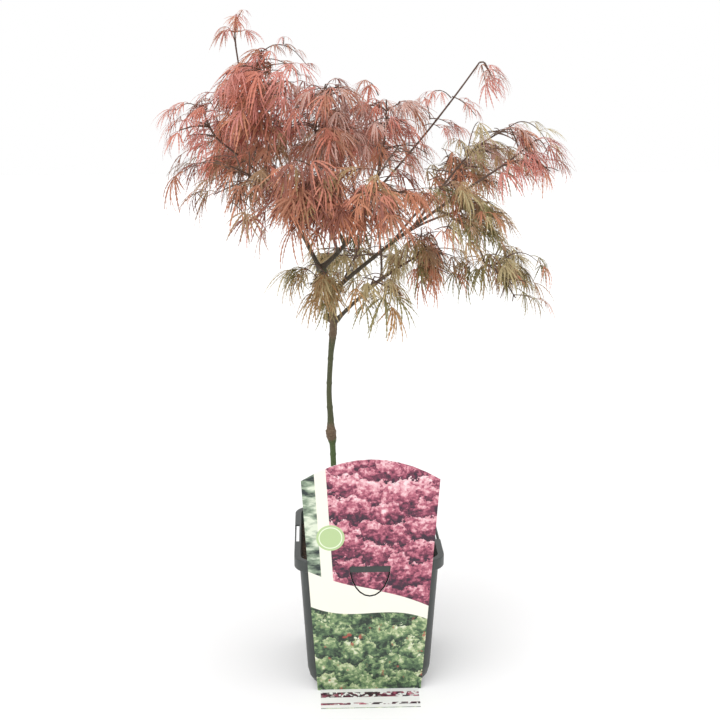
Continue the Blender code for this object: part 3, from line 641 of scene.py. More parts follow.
# Bark on paths: each path is given a round skin as wide as its girth, with long shallow furrows, a ring at
# each old bud, and lumps where it is knobby. The skin keeps its place round and along the limb.
bark_skin = Growth("bark_skin")
sides, pace, furrow = bark_skin.inputs(sides="Int", pace="Float", furrow="Float")
lump, bud_gap, bark = bark_skin.inputs(lump="Float", bud_gap="Float", bark="Material")
girth, knob = bark_skin.attribute("girth"), bark_skin.attribute("knob")
line = bark_skin.add("GeometryNodeMeshToCurve", {}, bark_skin.start)
line = bark_skin.add("GeometryNodeResampleCurve", {"mode": "LENGTH"}, line, length=pace)
line = bark_skin.store(line, "along", bark_skin.add("GeometryNodeSplineParameter", {}).out("Length"))
hoop = bark_skin.add("GeometryNodeCurvePrimitiveCircle", {}, sides, radius=1.0)
hoop = bark_skin.store(hoop, "around", bark_skin.add("GeometryNodeInputPosition", {}), "FLOAT_VECTOR")
skin = bark_skin.add("GeometryNodeCurveToMesh", {}, line, hoop, scale=girth, fill_caps=True)
along = bark_skin.attribute("along")
on_skin = bark_skin.vector_math(
    "ADD", bark_skin.attribute("around", "FLOAT_VECTOR"), bark_skin.vector(0.0, 0.0, along * 100)
)
skin = bark_skin.store(skin, "bark", on_skin, "FLOAT_VECTOR")
stretch = bark_skin.vector_math("MULTIPLY", bark_skin.attribute("bark", "FLOAT_VECTOR"), (2.6, 2.6, 0.45))
grooves = bark_skin.noise(stretch, 1.0, 3.0) - 0.5
swell = bark_skin.noise(bark_skin.add("GeometryNodeInputPosition", {}), 240.0, 2.0) - 0.5
bud = (along * math.pi / bud_gap).math("COSINE").math("ABSOLUTE") ** 60.0
rise = grooves * furrow + swell * lump * knob + bud * 0.13
outwards = bark_skin.scaled(bark_skin.add("GeometryNodeInputNormal", {}), rise * girth)
skin = bark_skin.add("GeometryNodeSetPosition", {}, skin, offset=outwards)
skin = bark_skin.add("GeometryNodeSetShadeSmooth", {}, skin)
bark_skin.finish(skin, [bark])


class Bark(Paint):
    """A paint whose patterns lie round and along a limb. The z of its place is in centimetres along it."""

    def __init__(self, name):
        super().__init__(name)
        self.on_bark = self.attribute("bark").out("Vector")
        self.age = self.attribute("girth").out("Fac")
        self.knob = self.attribute("knob").out("Fac")

    def attribute(self, name):
        return self.add("ShaderNodeAttribute", {"attribute_name": name})

    def streaks(self, around, along, detail=3.0):
        return self.noise(1.0, detail, at=self.vector_math("MULTIPLY", self.on_bark, (around, around, along)))


paint = Bark("stem_bark")
above_graft = paint.axes()[2].above(0.335, 0.350)
streak = paint.streaks(3.0, 0.5)
lenticel = paint.streaks(2.2, 14.0, 1.0).above(0.66, 0.72)
young = paint.mix(streak, (0.026, 0.050, 0.012), (0.090, 0.135, 0.036))
old = paint.mix(streak, (0.022, 0.026, 0.009), (0.092, 0.100, 0.036))
callus = paint.mix(paint.noise(420, 4), (0.040, 0.024, 0.014), (0.215, 0.140, 0.080))
tone = paint.mix(above_graft, young, old)
tone = paint.mix((paint.knob + (streak - 0.5) * 0.6).above(0.25, 0.70), tone, callus)
tone = paint.mix(lenticel * 0.6, tone, (0.360, 0.320, 0.220))
stem_finish = paint.set(
    base_color=tone,
    roughness=0.52 + streak * 0.2,
    normal=paint.bump(streak * 0.6 + lenticel * 0.4 + paint.noise(1600, 3) * 0.3, 0.0005),
)

paint = Paint("sawn_wood")
sawn_finish = paint.set(
    base_color=paint.mix(paint.noise(700, 4), (0.090, 0.060, 0.038), (0.300, 0.220, 0.140)), roughness=0.8
)

coarse = smooth_through([(s.x, s.y, s.z, s.radius) for s in SOURCE_STEM], STEM_STEPS)
fine = smooth_through([(s.x, s.y, s.z, s.radius) for s in STEM], STEM_FINE_STEPS)
knobs = [row[0] for row in smooth_through([(s.knob, 0) for s in STEM], STEM_FINE_STEPS)]
line = []
for row, knob in zip(fine, knobs):
    off = min(abs(row.z - BURR_HEIGHT) / BURR_REACH, 1)
    line.append((row.xyz, max(row.w, BURR_RADIUS * math.sqrt(1 - off**2)), max(knob, 0)))
stem = path_object("stem_bark", [line])
bark_skin.run(stem, sides=36, pace=0.0008, furrow=0.11, lump=0.95, bud_gap=0.034, bark=stem_finish)
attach(stem, "root")
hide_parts("trunk")

stub_end = STUB_FOOT + STUB_WAY * STUB_LENGTH
stub = path_object("stem_stub", [[(STUB_FOOT, STUB_RADIUS, 0.8), (stub_end, STUB_RADIUS * 0.92, 0.3)]])
bark_skin.run(stub, sides=24, pace=0.0008, furrow=0.16, lump=0.6, bud_gap=1.0, bark=stem_finish)
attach(stub, "root")

made = bmesh.new()
facing = STUB_WAY.to_track_quat("Z", "Y").to_matrix().to_4x4()
bmesh.ops.create_cone(
    made,
    cap_ends=True,
    segments=24,
    radius1=STUB_RADIUS * CUT_SHARES[0],
    radius2=STUB_RADIUS * CUT_SHARES[1],
    depth=CUT_DEPTH,
    matrix=Matrix.Translation(stub_end + STUB_WAY * 0.0001) @ facing,
)
sawn = object_of(made, "stem_saw_cut", sawn_finish)
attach(sawn, "root")

# ------------------------------------------------------------------------------------------------- boughs
# Thin arching limbs that leave the head and each other, each from a little collar. Their bark is dark brown,
# and paler and redder towards the young ends.
Limb = namedtuple("Limb", "name parent share tip bow foot_radius tip_radius")
LIMBS = [Limb(*row) for row in (
    ("bough_left", "trunk", 0.965, (-0.140, -0.010, 0.724), (0, 0, 0.004), 0.0030, 0.0015),
    ("bough_left_out", "bough_left", 0.60, (-0.182, -0.045, 0.735), (-0.006, 0, 0.010), 0.0017, 0.0012),
    ("bough_left_low", "bough_left", 0.34, (-0.130, -0.070, 0.687), (0, -0.006, 0.014), 0.0019, 0.0012),
    ("bough_left_back", "bough_left", 0.46, (-0.149, 0.100, 0.698), (0, 0.010, 0.014), 0.0019, 0.0012),
    ("shoot_top", "bough_left", 0.86, (-0.166, 0.024, 0.850), (-0.010, 0.026, 0), 0.0012, 0.0010),
    ("bough_centre", "trunk", 1.00, (0.016, 0, 0.702), (0.020, 0, -0.018), 0.0031, 0.0016),
    ("bough_centre_left", "bough_centre", 0.28, (-0.066, -0.022, 0.718), (-0.012, 0, 0), 0.0021, 0.0013),
    ("bough_centre_back", "bough_centre", 0.50, (-0.020, 0.120, 0.700), (0, 0.010, 0.012), 0.0020, 0.0012),
    ("bough_centre_front", "bough_centre", 0.18, (-0.064, -0.095, 0.671), (0, -0.010, 0.012), 0.0020, 0.0012),
    ("shoot_long", "bough_centre", 0.74, (0.143, 0.012, 0.830), (0.006, 0.012, -0.006), 0.0015, 0.0010),
    ("bough_right", "trunk", 0.935, (0.158, -0.030, 0.696), (0, 0, 0.012), 0.0030, 0.0014),
    ("bough_right_crest", "bough_right", 0.52, (0.132, 0.035, 0.708), (0, 0.006, 0.004), 0.0017, 0.0012),
    ("bough_right_mid", "bough_right", 0.44, (0.096, -0.070, 0.648), (0, -0.006, 0.006), 0.0017, 0.0012),
    ("bough_right_back", "bough_right", 0.38, (0.124, 0.115, 0.668), (0, 0.014, 0.010), 0.0018, 0.0012),
    ("bough_right_low", "bough_right", 0.66, (0.152, -0.015, 0.578), (0.016, 0.006, 0.014), 0.0015, 0.0011),
    ("bough_low_right", "trunk", 0.815, (0.056, -0.020, 0.582), (0, 0, 0.012), 0.0026, 0.0014),
    ("bough_low_centre", "bough_low_right", 0.38, (0, -0.055, 0.555), (0.002, -0.006, 0.006), 0.0015, 0.0011),
    ("bough_low_front", "bough_low_right", 0.60, (0.004, -0.100, 0.656), (0.006, -0.010, 0), 0.0016, 0.0012),
    ("bough_low_left", "trunk", 0.90, (-0.050, -0.046, 0.560), (-0.004, -0.004, 0.002), 0.0017, 0.0012),
    ("bough_low_back", "trunk", 0.86, (-0.014, 0.105, 0.560), (0, 0.006, 0.012), 0.0019, 0.0012),
)]
LIMB_STEPS, LIMB_FINE_STEPS = 5, 24
COLLAR, COLLAR_LENGTH = 0.55, 0.006  # how much wider it is at the foot, as a share, and how fast that fades


def bowed(start, end, bow, steps):
    """Points along a quadratic curve whose control point is the middle, moved by bow."""
    start, end = Vector(start), Vector(end)
    control = (start + end) / 2 + Vector(bow)
    shares = [i / steps for i in range(steps + 1)]
    return [start * (1 - t) ** 2 + control * 2 * t * (1 - t) + end * t * t for t in shares]


def at_share(points, share):
    """The point and direction at a share of the path's steps."""
    place = min(share, 1) * (len(points) - 1)
    i = min(int(place), len(points) - 2)
    return points[i].lerp(points[i + 1], place - i), (points[i + 1] - points[i]).normalized()


def foot_of(limb, parent_points, parent_radii):
    """Where a bough's line leaves its parent's surface."""
    on_axis, along = at_share(parent_points, limb.share)
    if limb.share == 1:
        return on_axis + along * GAP, on_axis
    step = int(limb.share * (len(parent_radii) - 1))
    parent_radius = max(parent_radii[step], parent_radii[step + 1])
    control = (on_axis + Vector(limb.tip)) / 2 + Vector(limb.bow)
    way = (control - on_axis).normalized()
    outward = (way - along * way.dot(along)).normalized()
    return on_axis + way * (parent_radius + GAP) / way.dot(outward), on_axis


paint = Bark("bough_bark")
streak = paint.streaks(2.4, 0.6)
lenticel = paint.streaks(2.0, 11.0, 1.0).above(0.66, 0.72)
thick = paint.age.above(0.0011, 0.0026)
tone = paint.mix(
    thick,
    paint.mix(streak, (0.052, 0.027, 0.018), (0.155, 0.086, 0.058)),
    paint.mix(streak, (0.020, 0.016, 0.010), (0.092, 0.070, 0.040)),
)
tone = paint.mix(lenticel * 0.5, tone, (0.300, 0.240, 0.170))
bough_finish = paint.set(
    base_color=tone,
    roughness=0.5 + streak * 0.2,
    normal=paint.bump(streak * 0.7 + lenticel * 0.3, 0.0004),
)

paths = {"trunk": ([row.xyz for row in coarse], [row.w for row in coarse])}
for limb in LIMBS:
    start, on_axis = foot_of(limb, *paths[limb.parent])
    steps = [i / LIMB_STEPS for i in range(LIMB_STEPS + 1)]
    radii = [limb.foot_radius + (limb.tip_radius - limb.foot_radius) * t for t in steps]
    paths[limb.name] = (bowed(start, limb.tip, limb.bow, LIMB_STEPS), radii)
    line = [on_axis, *bowed(start, limb.tip, limb.bow, LIMB_FINE_STEPS)]
    rows = []
    for i, point in enumerate(line):
        radius = limb.foot_radius + (limb.tip_radius - limb.foot_radius) * max(i - 1, 0) / LIMB_FINE_STEPS
        flare = COLLAR * math.exp(-(point - start).length / COLLAR_LENGTH)
        rows.append((point, radius * (1 + flare), flare))
    bough = path_object(f"bark_{limb.name}", [rows])
    bark_skin.run(bough, sides=14, pace=0.0014, furrow=0.16, lump=0.7, bud_gap=0.026, bark=bough_finish)
    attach(bough, "root")
    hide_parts(limb.name)

# ------------------------------------------------------------------------------------------------- twigs
# Each bough runs on as a stem with twigs in pairs, and the twigs bear short spurs. Such a mass is the growth
# of the last two summers: thin, smooth and brown.
# Its reach is where its stem ends, and its spread how long its twigs are. Hang is the leaves' extra dip.
Mass = namedtuple("Mass", "name bough reach nodes spread leaf fullness season hang", defaults=(0,))
MASSES = [Mass(*row) for row in (
    ("crest_left", "bough_left", (-0.132, -0.010, 0.846), 5, 0.078, 0.068, 0.90, "red"),
    ("tip_left", "bough_left_out", (-0.207, -0.045, 0.787), 3, 0.050, 0.060, 0.35, "red"),
    ("skirt_left", "bough_left_low", (-0.169, -0.110, 0.714), 3, 0.062, 0.064, 0.20, "russet", 0.25),
    ("back_left", "bough_left_back", (-0.190, 0.155, 0.740), 3, 0.058, 0.072, 0.80, "russet"),
    ("tuft_top", "shoot_top", (-0.164, 0.018, 0.889), 1, 0.010, 0.040, 0.00, "red"),
    ("crown_centre", "bough_centre", (0.024, 0, 0.799), 3, 0.062, 0.060, 0.80, "blush"),
    ("crown_left", "bough_centre_left", (-0.053, -0.020, 0.805), 4, 0.066, 0.062, 1.00, "blush"),
    ("back_centre", "bough_centre_back", (-0.018, 0.185, 0.742), 3, 0.060, 0.072, 0.80, "russet"),
    ("front_centre", "bough_centre_front", (-0.079, -0.160, 0.700), 3, 0.064, 0.068, 0.95, "copper"),
    ("tuft_shoot", "shoot_long", (0.158, 0.010, 0.814), 1, 0.010, 0.044, 0.00, "rose"),
    ("tip_right", "bough_right", (0.208, -0.050, 0.738), 2, 0.048, 0.062, 0.70, "rose"),
    ("crest_right", "bough_right_crest", (0.187, 0.045, 0.745), 3, 0.056, 0.058, 0.50, "gold"),
    ("front_right", "bough_right_mid", (0.122, -0.105, 0.671), 3, 0.056, 0.062, 0.55, "bronze"),
    ("back_right", "bough_right_back", (0.158, 0.170, 0.690), 3, 0.058, 0.072, 0.75, "bronze"),
    ("skirt_right", "bough_right_low", (0.182, -0.020, 0.586), 3, 0.052, 0.060, 0.40, "umber", 0.2),
    ("low_right", "bough_low_right", (0.081, -0.045, 0.607), 3, 0.050, 0.058, 0.50, "bronze", 0.2),
    ("low_front", "bough_low_centre", (0.017, -0.095, 0.576), 2, 0.046, 0.060, 0.25, "ochre", 0.35),
    ("mid_front", "bough_low_front", (0.007, -0.160, 0.712), 3, 0.058, 0.063, 0.90, "copper"),
    ("low_left", "bough_low_left", (-0.064, -0.080, 0.569), 2, 0.034, 0.054, 0.30, "ochre", 0.3),
    ("low_back", "bough_low_back", (-0.010, 0.160, 0.566), 3, 0.052, 0.066, 0.55, "olive", 0.2),
)]
SEED = 20
STEM_RUN_ON = 0.4  # how far a stem keeps to its bough's line, as a share of its length
STEM_FOOT_SHARE, STEM_FOOT_MOST, STEM_TIP_RADIUS = 1.2, 0.0016, 0.0010
TWIG_RADIUS, TWIG_TIP_RADIUS = 0.0011, 0.0007
TWIG_DROOP, TWIG_FLATNESS = 0.22, 0.6
TWIG_TURN, TWIG_LEAN, TWIG_SHARE = (70, 110), (0.2, 0.8), (0.8, 1.1)  # degrees, forward, length in spreads
TRIES, TRY_SHORTER = 12, 0.06
SPACE_MARGIN, LIMB_CLEARANCE, ROOT_SINK = 0.0006, 0.0008, 0.0003
LEAF_SAG = 0.25  # how far the middle of a mass lies under its stem's, in leaves
SPUR_SHARES = (0.30, 0.55, 0.80)  # places along a twig
SPUR_LENGTH, SPUR_OVERLAP = 0.55, 0.030  # in spreads of the mass, and metres into the next one's room
SPUR_TURN, SPUR_RISE, SPUR_STRETCH, SPUR_FORWARD = (0.7, 1.4), (-0.25, 0.45), (0.6, 1.15), 0.3
SPUR_RADIUS, SPUR_TAPER = 0.0007, (1, 0.9, 0.75)

# The leaf at a twig's end, which has to find room there too.
LOBE_ANGLES = (-108, -72, -36, 0, 36, 72, 108)  # degrees from the way the leaf points
LOBE_SHARES = (0.50, 0.76, 0.93, 1.0, 0.93, 0.76, 0.50)  # lengths, as shares of the middle lobe's
LOBE_DIP, LOBE_DIP_AROUND = 56, 0.08  # degrees below level, and more for each degree round from the front
LEAF_DIP, END_LEAF_SHARE = 8, 0.7
LOBE_HALF, NOTCH_SHARE, LEAF_HEEL = 0.0020, 0.17, 0.0018
PETIOLE_SHARE, PETIOLE_RISE, PETIOLE_FORWARD = 0.26, 0.40, 0.9

# Openings to the sky at the crown's edge, as seen from the front and measured on the upright plane through
# the stem: across, height, half length, half height and slant in degrees.
Oval = namedtuple("Oval", "x z half_length half_height slant", defaults=(0,))
OPENINGS = [Oval(*row) for row in (
    (-0.205, 0.801, 0.055, 0.020, 45), (-0.245, 0.722, 0.022, 0.018), (-0.252, 0.784, 0.028, 0.010, 20),
    (-0.145, 0.609, 0.024, 0.011, -15), (-0.207, 0.626, 0.045, 0.024, -35), (-0.085, 0.585, 0.036, 0.010),
    (-0.088, 0.528, 0.024, 0.015, 30), (-0.020, 0.503, 0.018, 0.022), (0.014, 0.488, 0.014, 0.020),
    (0.032, 0.794, 0.010, 0.010), (-0.022, 0.797, 0.010, 0.012), (-0.182, 0.813, 0.012, 0.007, 45),
    (0.195, 0.591, 0.012, 0.010), (0.064, 0.787, 0.032, 0.006), (0.093, 0.719, 0.009, 0.012),
    (0.177, 0.730, 0.016, 0.008, -25), (0.148, 0.759, 0.004, 0.016), (0.006, 0.570, 0.014, 0.012),
    (0.057, 0.515, 0.012, 0.020), (0.117, 0.774, 0.016, 0.012, -20), (0.112, 0.538, 0.011, 0.020),
    (0.202, 0.618, 0.025, 0.022), (0.200, 0.500, 0.024, 0.022), (0.268, 0.678, 0.028, 0.020),
    (0.200, 0.667, 0.028, 0.010), (0.166, 0.650, 0.009, 0.006),
)]

# Single sprays that leave the rest of the crown, by mass. Each is an arching twig with leaves in pairs, and
# starts at the tip of the mass's bough unless it has a foot of its own.
SPRAY_STEPS = 4
Spray = namedtuple("Spray", "tip rise pairs leaf foot", defaults=(None,))
SPRAYS = {
    "tuft_top": (
        ((-0.174, 0.010, 0.873), 0.004, 2, 0.028, (-0.166, 0.024, 0.852)),
        ((-0.162, 0.010, 0.885), 0.003, 2, 0.026, (-0.165, 0.022, 0.868)),
        ((-0.156, 0.010, 0.894), 0.000, 1, 0.016, (-0.163, 0.016, 0.884)),
    ),
    "crest_left": (
        ((-0.077, -0.014, 0.829), 0.016, 4, 0.026, (-0.133, -0.010, 0.843)),
        ((-0.104, -0.013, 0.862), 0.000, 1, 0.018, (-0.105, -0.012, 0.853)),
        ((-0.085, -0.030, 0.816), 0.008, 3, 0.028, (-0.133, -0.010, 0.834)),
        ((-0.116, -0.070, 0.726), 0.012, 4, 0.054),
        ((-0.197, -0.040, 0.786), 0.012, 3, 0.046, (-0.182, -0.045, 0.735)),
    ),
    "crown_left": (
        ((-0.045, -0.014, 0.810), 0.002, 2, 0.034, (-0.053, -0.020, 0.800)),
        ((-0.077, -0.040, 0.801), 0.008, 3, 0.040, (-0.053, -0.020, 0.790)),
    ),
    "crown_centre": (
        ((0.001, -0.004, 0.807), 0.004, 3, 0.042, (0.014, 0.000, 0.790)),
        ((0.139, 0.000, 0.764), 0.004, 4, 0.034, (0.109, 0.011, 0.788)),
        ((0.084, 0.008, 0.794), 0.005, 3, 0.026, (0.108, 0.012, 0.786)),
        ((0.072, 0.000, 0.788), 0.004, 2, 0.024, (0.081, 0.011, 0.760)),
        ((0.110, 0.000, 0.750), 0.004, 3, 0.036, (0.081, 0.011, 0.760)),
        ((0.093, 0.000, 0.749), 0.004, 2, 0.038, (0.073, 0.011, 0.751)),
    ),
    "tuft_shoot": (
        ((0.150, 0.004, 0.806), 0.002, 3, 0.044, (0.146, 0.012, 0.827)),
    ),
    "crest_right": (
        ((0.235, 0.000, 0.726), 0.018, 4, 0.036, (0.187, 0.045, 0.745)),
        ((0.144, 0.020, 0.755), 0.010, 4, 0.044),
        ((0.119, 0.020, 0.732), 0.006, 3, 0.040),
    ),
    "tip_right": (
        ((0.226, -0.050, 0.713), 0.008, 3, 0.044, (0.208, -0.050, 0.738)),
        ((0.197, -0.060, 0.709), 0.006, 3, 0.046),
    ),
    "front_centre": (
        ((-0.083, -0.165, 0.655), 0.006, 3, 0.056, (-0.079, -0.160, 0.700)),
        ((-0.062, -0.130, 0.644), 0.010, 3, 0.052),
        ((-0.055, -0.090, 0.755), 0.012, 4, 0.054),
        ((-0.115, -0.130, 0.649), 0.010, 1, 0.056),
    ),
    "mid_front": (
        ((-0.032, -0.160, 0.707), 0.006, 4, 0.050, (0.007, -0.160, 0.712)),
        ((0.015, -0.080, 0.740), 0.012, 4, 0.052),
    ),
    "front_right": (
        ((0.160, -0.070, 0.639), 0.008, 3, 0.044, (0.122, -0.105, 0.671)),
        ((0.139, -0.070, 0.624), 0.006, 3, 0.046),
    ),
    "skirt_right": (
        ((0.115, -0.020, 0.574), 0.010, 3, 0.046),
        ((0.153, -0.030, 0.596), 0.006, 2, 0.050),
        ((0.138, -0.030, 0.578), 0.004, 3, 0.052),
        ((0.194, -0.022, 0.544), 0.006, 3, 0.044, (0.182, -0.020, 0.586)),
        ((0.221, -0.022, 0.579), 0.008, 2, 0.044, (0.182, -0.020, 0.586)),
    ),
    "low_right": (
        ((0.040, -0.040, 0.583), 0.008, 2, 0.046),
        ((0.070, -0.050, 0.567), 0.008, 2, 0.050),
        ((0.098, -0.050, 0.582), 0.008, 3, 0.046, (0.081, -0.045, 0.607)),
    ),
    "low_front": (
        ((0.019, -0.100, 0.544), 0.004, 2, 0.064, (0.017, -0.095, 0.576)),
        ((-0.003, -0.080, 0.548), 0.006, 1, 0.054),
        ((-0.011, -0.110, 0.574), 0.006, 2, 0.050, (0.017, -0.095, 0.576)),
    ),
    "low_left": (
        ((-0.065, -0.090, 0.550), 0.004, 2, 0.054, (-0.064, -0.080, 0.569)),
    ),
    "low_back": (
        ((-0.090, -0.080, 0.582), 0.006, 4, 0.050, (-0.064, -0.080, 0.569)),
        ((0.035, 0.075, 0.580), 0.010, 3, 0.054),
        ((-0.045, 0.060, 0.580), 0.010, 3, 0.054),
        ((0.020, 0.125, 0.600), 0.012, 4, 0.056),
        ((-0.087, -0.080, 0.585), 0.004, 2, 0.046, (-0.064, -0.080, 0.569)),
    ),
    "tip_left": (
        ((-0.235, -0.050, 0.776), 0.008, 3, 0.038, (-0.207, -0.045, 0.775)),
        ((-0.232, -0.060, 0.751), 0.008, 3, 0.044, (-0.207, -0.045, 0.775)),
    ),
    "skirt_left": (
        ((-0.212, -0.082, 0.709), 0.010, 2, 0.052, (-0.169, -0.110, 0.710)),
        ((-0.202, -0.090, 0.683), 0.012, 2, 0.050, (-0.150, -0.090, 0.700)),
        ((-0.142, -0.090, 0.653), 0.012, 1, 0.050, (-0.140, -0.080, 0.694)),
        ((-0.129, -0.100, 0.710), 0.012, 4, 0.054),
        ((-0.115, -0.070, 0.765), 0.014, 4, 0.054),
        ((-0.226, -0.090, 0.705), 0.010, 1, 0.060, (-0.169, -0.110, 0.710)),
        ((-0.188, -0.090, 0.680), 0.012, 1, 0.060, (-0.150, -0.090, 0.700)),
    ),
    "back_left": (
        ((-0.140, 0.065, 0.765), 0.014, 4, 0.056),
        ((-0.095, 0.085, 0.755), 0.014, 4, 0.056),
        ((-0.190, 0.055, 0.735), 0.012, 3, 0.054),
    ),
    "back_centre": (
        ((-0.035, 0.080, 0.770), 0.014, 4, 0.056),
        ((0.035, 0.075, 0.750), 0.014, 4, 0.056),
        ((-0.095, 0.180, 0.735), 0.014, 4, 0.060),
        ((0.065, 0.180, 0.715), 0.014, 4, 0.060),
    ),
    "back_right": (
        ((0.105, 0.090, 0.715), 0.012, 4, 0.054),
        ((0.175, 0.095, 0.700), 0.012, 4, 0.054),
    ),
}

Twig = namedtuple("Twig", "points radii")
Leaf = namedtuple("Leaf", "root heading size dip")


def seen_at(point):
    """Where the point shows from the front, across and up, on the upright plane through the stem."""
    share = CAMERA_PLACE[1] / (CAMERA_PLACE[1] - point.y)
    return Vector((
        CAMERA_PLACE[0] + (point.x - CAMERA_PLACE[0]) * share,
        CAMERA_PLACE[2] + (point.z - CAMERA_PLACE[2]) * share,
    ))


def within(ovals, point):
    """Whether the point shows inside one of the ovals, as seen from the front."""
    for oval in ovals:
        slant = Matrix.Rotation(math.radians(-oval.slant), 2)
        along, over = slant @ (seen_at(point) - Vector((oval.x, oval.z)))
        if (along / oval.half_length) ** 2 + (over / oval.half_height) ** 2 < 1:
            return True
    return False


def segment_distance(a, b, c, d):
    """Shortest distance between the segments a-b and c-d."""
    u, v, w = b - a, d - c, a - c
    uu, uv, vv = u.dot(u), u.dot(v), v.dot(v)
    uw, vw = u.dot(w), v.dot(w)
    flat = uu * vv - uv * uv
    s = min(max((uv * vw - vv * uw) / flat, 0), 1) if flat > 1e-12 else 0
    t = min(max((uv * s + vw) / vv, 0), 1)
    s = min(max((uv * t - uw) / uu, 0), 1)
    return (w + u * s - v * t).length


def spans(points):
    """Each point with the next one."""
    return list(zip(points, points[1:]))


class Space:
    """The room of one mass: all that lies nearer to its middle than to any other's, less the limbs.

    Distances count from a ball as wide as the mass's twigs are long, so a small tuft takes little room.
    """

    def __init__(self, name, middles):
        self.own, self.own_ball = middles[name]
        self.others = [middle for other, middle in middles.items() if other != name]
        self.limbs = []
        for points, radii in paths.values():
            for (a, b), radius in zip(spans(points), radii):
                self.limbs.append((a, b, radius, (a + b) / 2, (b - a).length / 2))

    def holds(self, points, margin=SPACE_MARGIN):
        for point in points:
            near = (point - self.own).length_squared - self.own_ball**2
            for other, ball in self.others:
                far = (point - other).length_squared - ball**2
                if near + 2 * margin * (self.own - other).length > far:
                    return False
        return True

    def clears(self, lines, width):
        """True if each of these straight lines, this wide, misses every limb."""
        for a, b in lines:
            middle, half = (a + b) / 2, (b - a).length / 2
            for c, d, radius, limb_middle, limb_half in self.limbs:
                clearance = width + radius + LIMB_CLEARANCE
                if (middle - limb_middle).length < half + limb_half + clearance:
                    if segment_distance(a, b, c, d) < clearance:
                        return False
        return True


def level_heading(way, turn):
    """The level direction of way, turned by an angle in radians."""
    level = Vector((way.x, way.y, 0))
    if level.length < 1e-6:
        level = Vector((1, 0, 0))
    return Matrix.Rotation(turn, 3, "Z") @ level.normalized()


def leaf_points(leaf):
    """The leaf's centre, and its outline from one basal side round to the other."""
    reach = (leaf.heading * PETIOLE_FORWARD + UP * PETIOLE_RISE).normalized()
    centre = leaf.root + reach * leaf.size * PETIOLE_SHARE

    def out(angle, length, dip):
        level = Matrix.Rotation(math.radians(angle), 3, "Z") @ leaf.heading
        dip = math.radians(dip + abs(angle) * LOBE_DIP_AROUND)
        return centre + (level * math.cos(dip) - UP * math.sin(dip)) * length

    outline = [out(-150, LEAF_HEEL, 0)]
    for i, (angle, share) in enumerate(zip(LOBE_ANGLES, LOBE_SHARES)):
        if i:
            outline.append(out((angle + LOBE_ANGLES[i - 1]) / 2, leaf.size * NOTCH_SHARE, LOBE_DIP * 0.5))
        outline.append(out(angle, leaf.size * share, LOBE_DIP + leaf.dip))
    outline.append(out(150, LEAF_HEEL, 0))
    return centre, outline


def fits(leaf, space):
    """Whether the room holds the whole leaf and its lobes miss every limb."""
    centre, outline = leaf_points(leaf)
    reach = (centre - leaf.root).normalized()
    lines = [(leaf.root, centre)] + [(centre.lerp(tip, NOTCH_SHARE), tip) for tip in outline[1:-1:2]]
    held = space.holds([centre, leaf.root - reach * ROOT_SINK, *outline])
    return held and space.clears(lines, LOBE_HALF)


def grow_twigs(mass, space):
    """A mass's stem and the pairs of twigs along it. Each twig takes the first way it tries that has room."""
    draw = random.Random(f"{SEED}foliage_{mass.name}").uniform
    limb_points, limb_radii = paths[mass.bough]
    way = (limb_points[-1] - limb_points[-2]).normalized()
    steps = mass.nodes + 1
    start, end = limb_points[-1] + way * GAP, Vector(mass.reach)
    run_on = start + way * (end - start).length * STEM_RUN_ON
    stem = bowed(start, end, run_on - (start + end) / 2, steps)
    stem_foot = min(limb_radii[-1] * STEM_FOOT_SHARE, STEM_FOOT_MOST)
    twigs = [Twig(stem, [stem_foot + (STEM_TIP_RADIUS - stem_foot) * i / steps for i in range(steps + 1)])]
    phase = draw(0, math.pi)
    for node in range(1, steps):
        foot = stem[node]
        along = (stem[node + 1] - stem[node - 1]).normalized()
        side = along.orthogonal().normalized()
        phase += math.radians(draw(*TWIG_TURN))
        for hand in (0, math.pi):
            tries = []
            for i in range(TRIES):
                share = 1 - TRY_SHORTER * i
                tries.append((draw(-1, 1) * i / TRIES, draw(*TWIG_LEAN), draw(*TWIG_SHARE) * share))
            for swing, lean, share in tries:
                out = Matrix.Rotation(phase + hand + swing, 3, along) @ side
                out.z *= TWIG_FLATNESS
                way = (along * lean + out.normalized()).normalized()
                length = mass.spread * share
                tip = foot + way * length - UP * TWIG_DROOP * length
                points = bowed(foot - way * ROOT_SINK, tip, UP * TWIG_DROOP * length * 0.5, 2)
                heading = level_heading(points[2] - points[1], 0)
                end_leaf = Leaf(tip, heading, mass.leaf * END_LEAF_SHARE, LEAF_DIP)
                if fits(end_leaf, space) and space.clears(spans(points)[1:], TWIG_RADIUS):
                    twigs.append(Twig(points, [TWIG_RADIUS, TWIG_RADIUS * 0.85, TWIG_TIP_RADIUS]))
                    break
    return twigs


def grow_spurs(mass, twigs, space):
    """Pairs of short spurs along each twig, level or a little drooping, where the room has space for them."""
    draw = random.Random(f"{SEED}foliage_{mass.name} spurs").uniform
    spurs = []
    for twig in twigs:
        shares = SPUR_SHARES if twig is not twigs[0] else [(i + 0.5) / mass.nodes for i in range(mass.nodes)]
        for share in shares:
            foot, along = at_share(twig.points, share)
            for hand in (1, -1):
                out = level_heading(along, hand * draw(*SPUR_TURN))
                way = (out + UP * draw(*SPUR_RISE) + along * SPUR_FORWARD).normalized()
                length = mass.spread * SPUR_LENGTH * draw(*SPUR_STRETCH)
                tip = foot + way * length - UP * TWIG_DROOP * length
                if space.holds([tip], -SPUR_OVERLAP) and draw(0, 1) < mass.fullness:
                    points = bowed(foot, tip, UP * TWIG_DROOP * length * 0.5, 2)
                    spurs.append(Twig(points, [SPUR_RADIUS * share for share in SPUR_TAPER]))
    return spurs


def rounded_off(twig):
    """The twig with four steps for each of its own, along a smooth curve."""
    rows = smooth_through([(*point, radius) for point, radius in zip(twig.points, twig.radii)], 4)
    return Twig([row.xyz for row in rows], [row.w for row in rows])


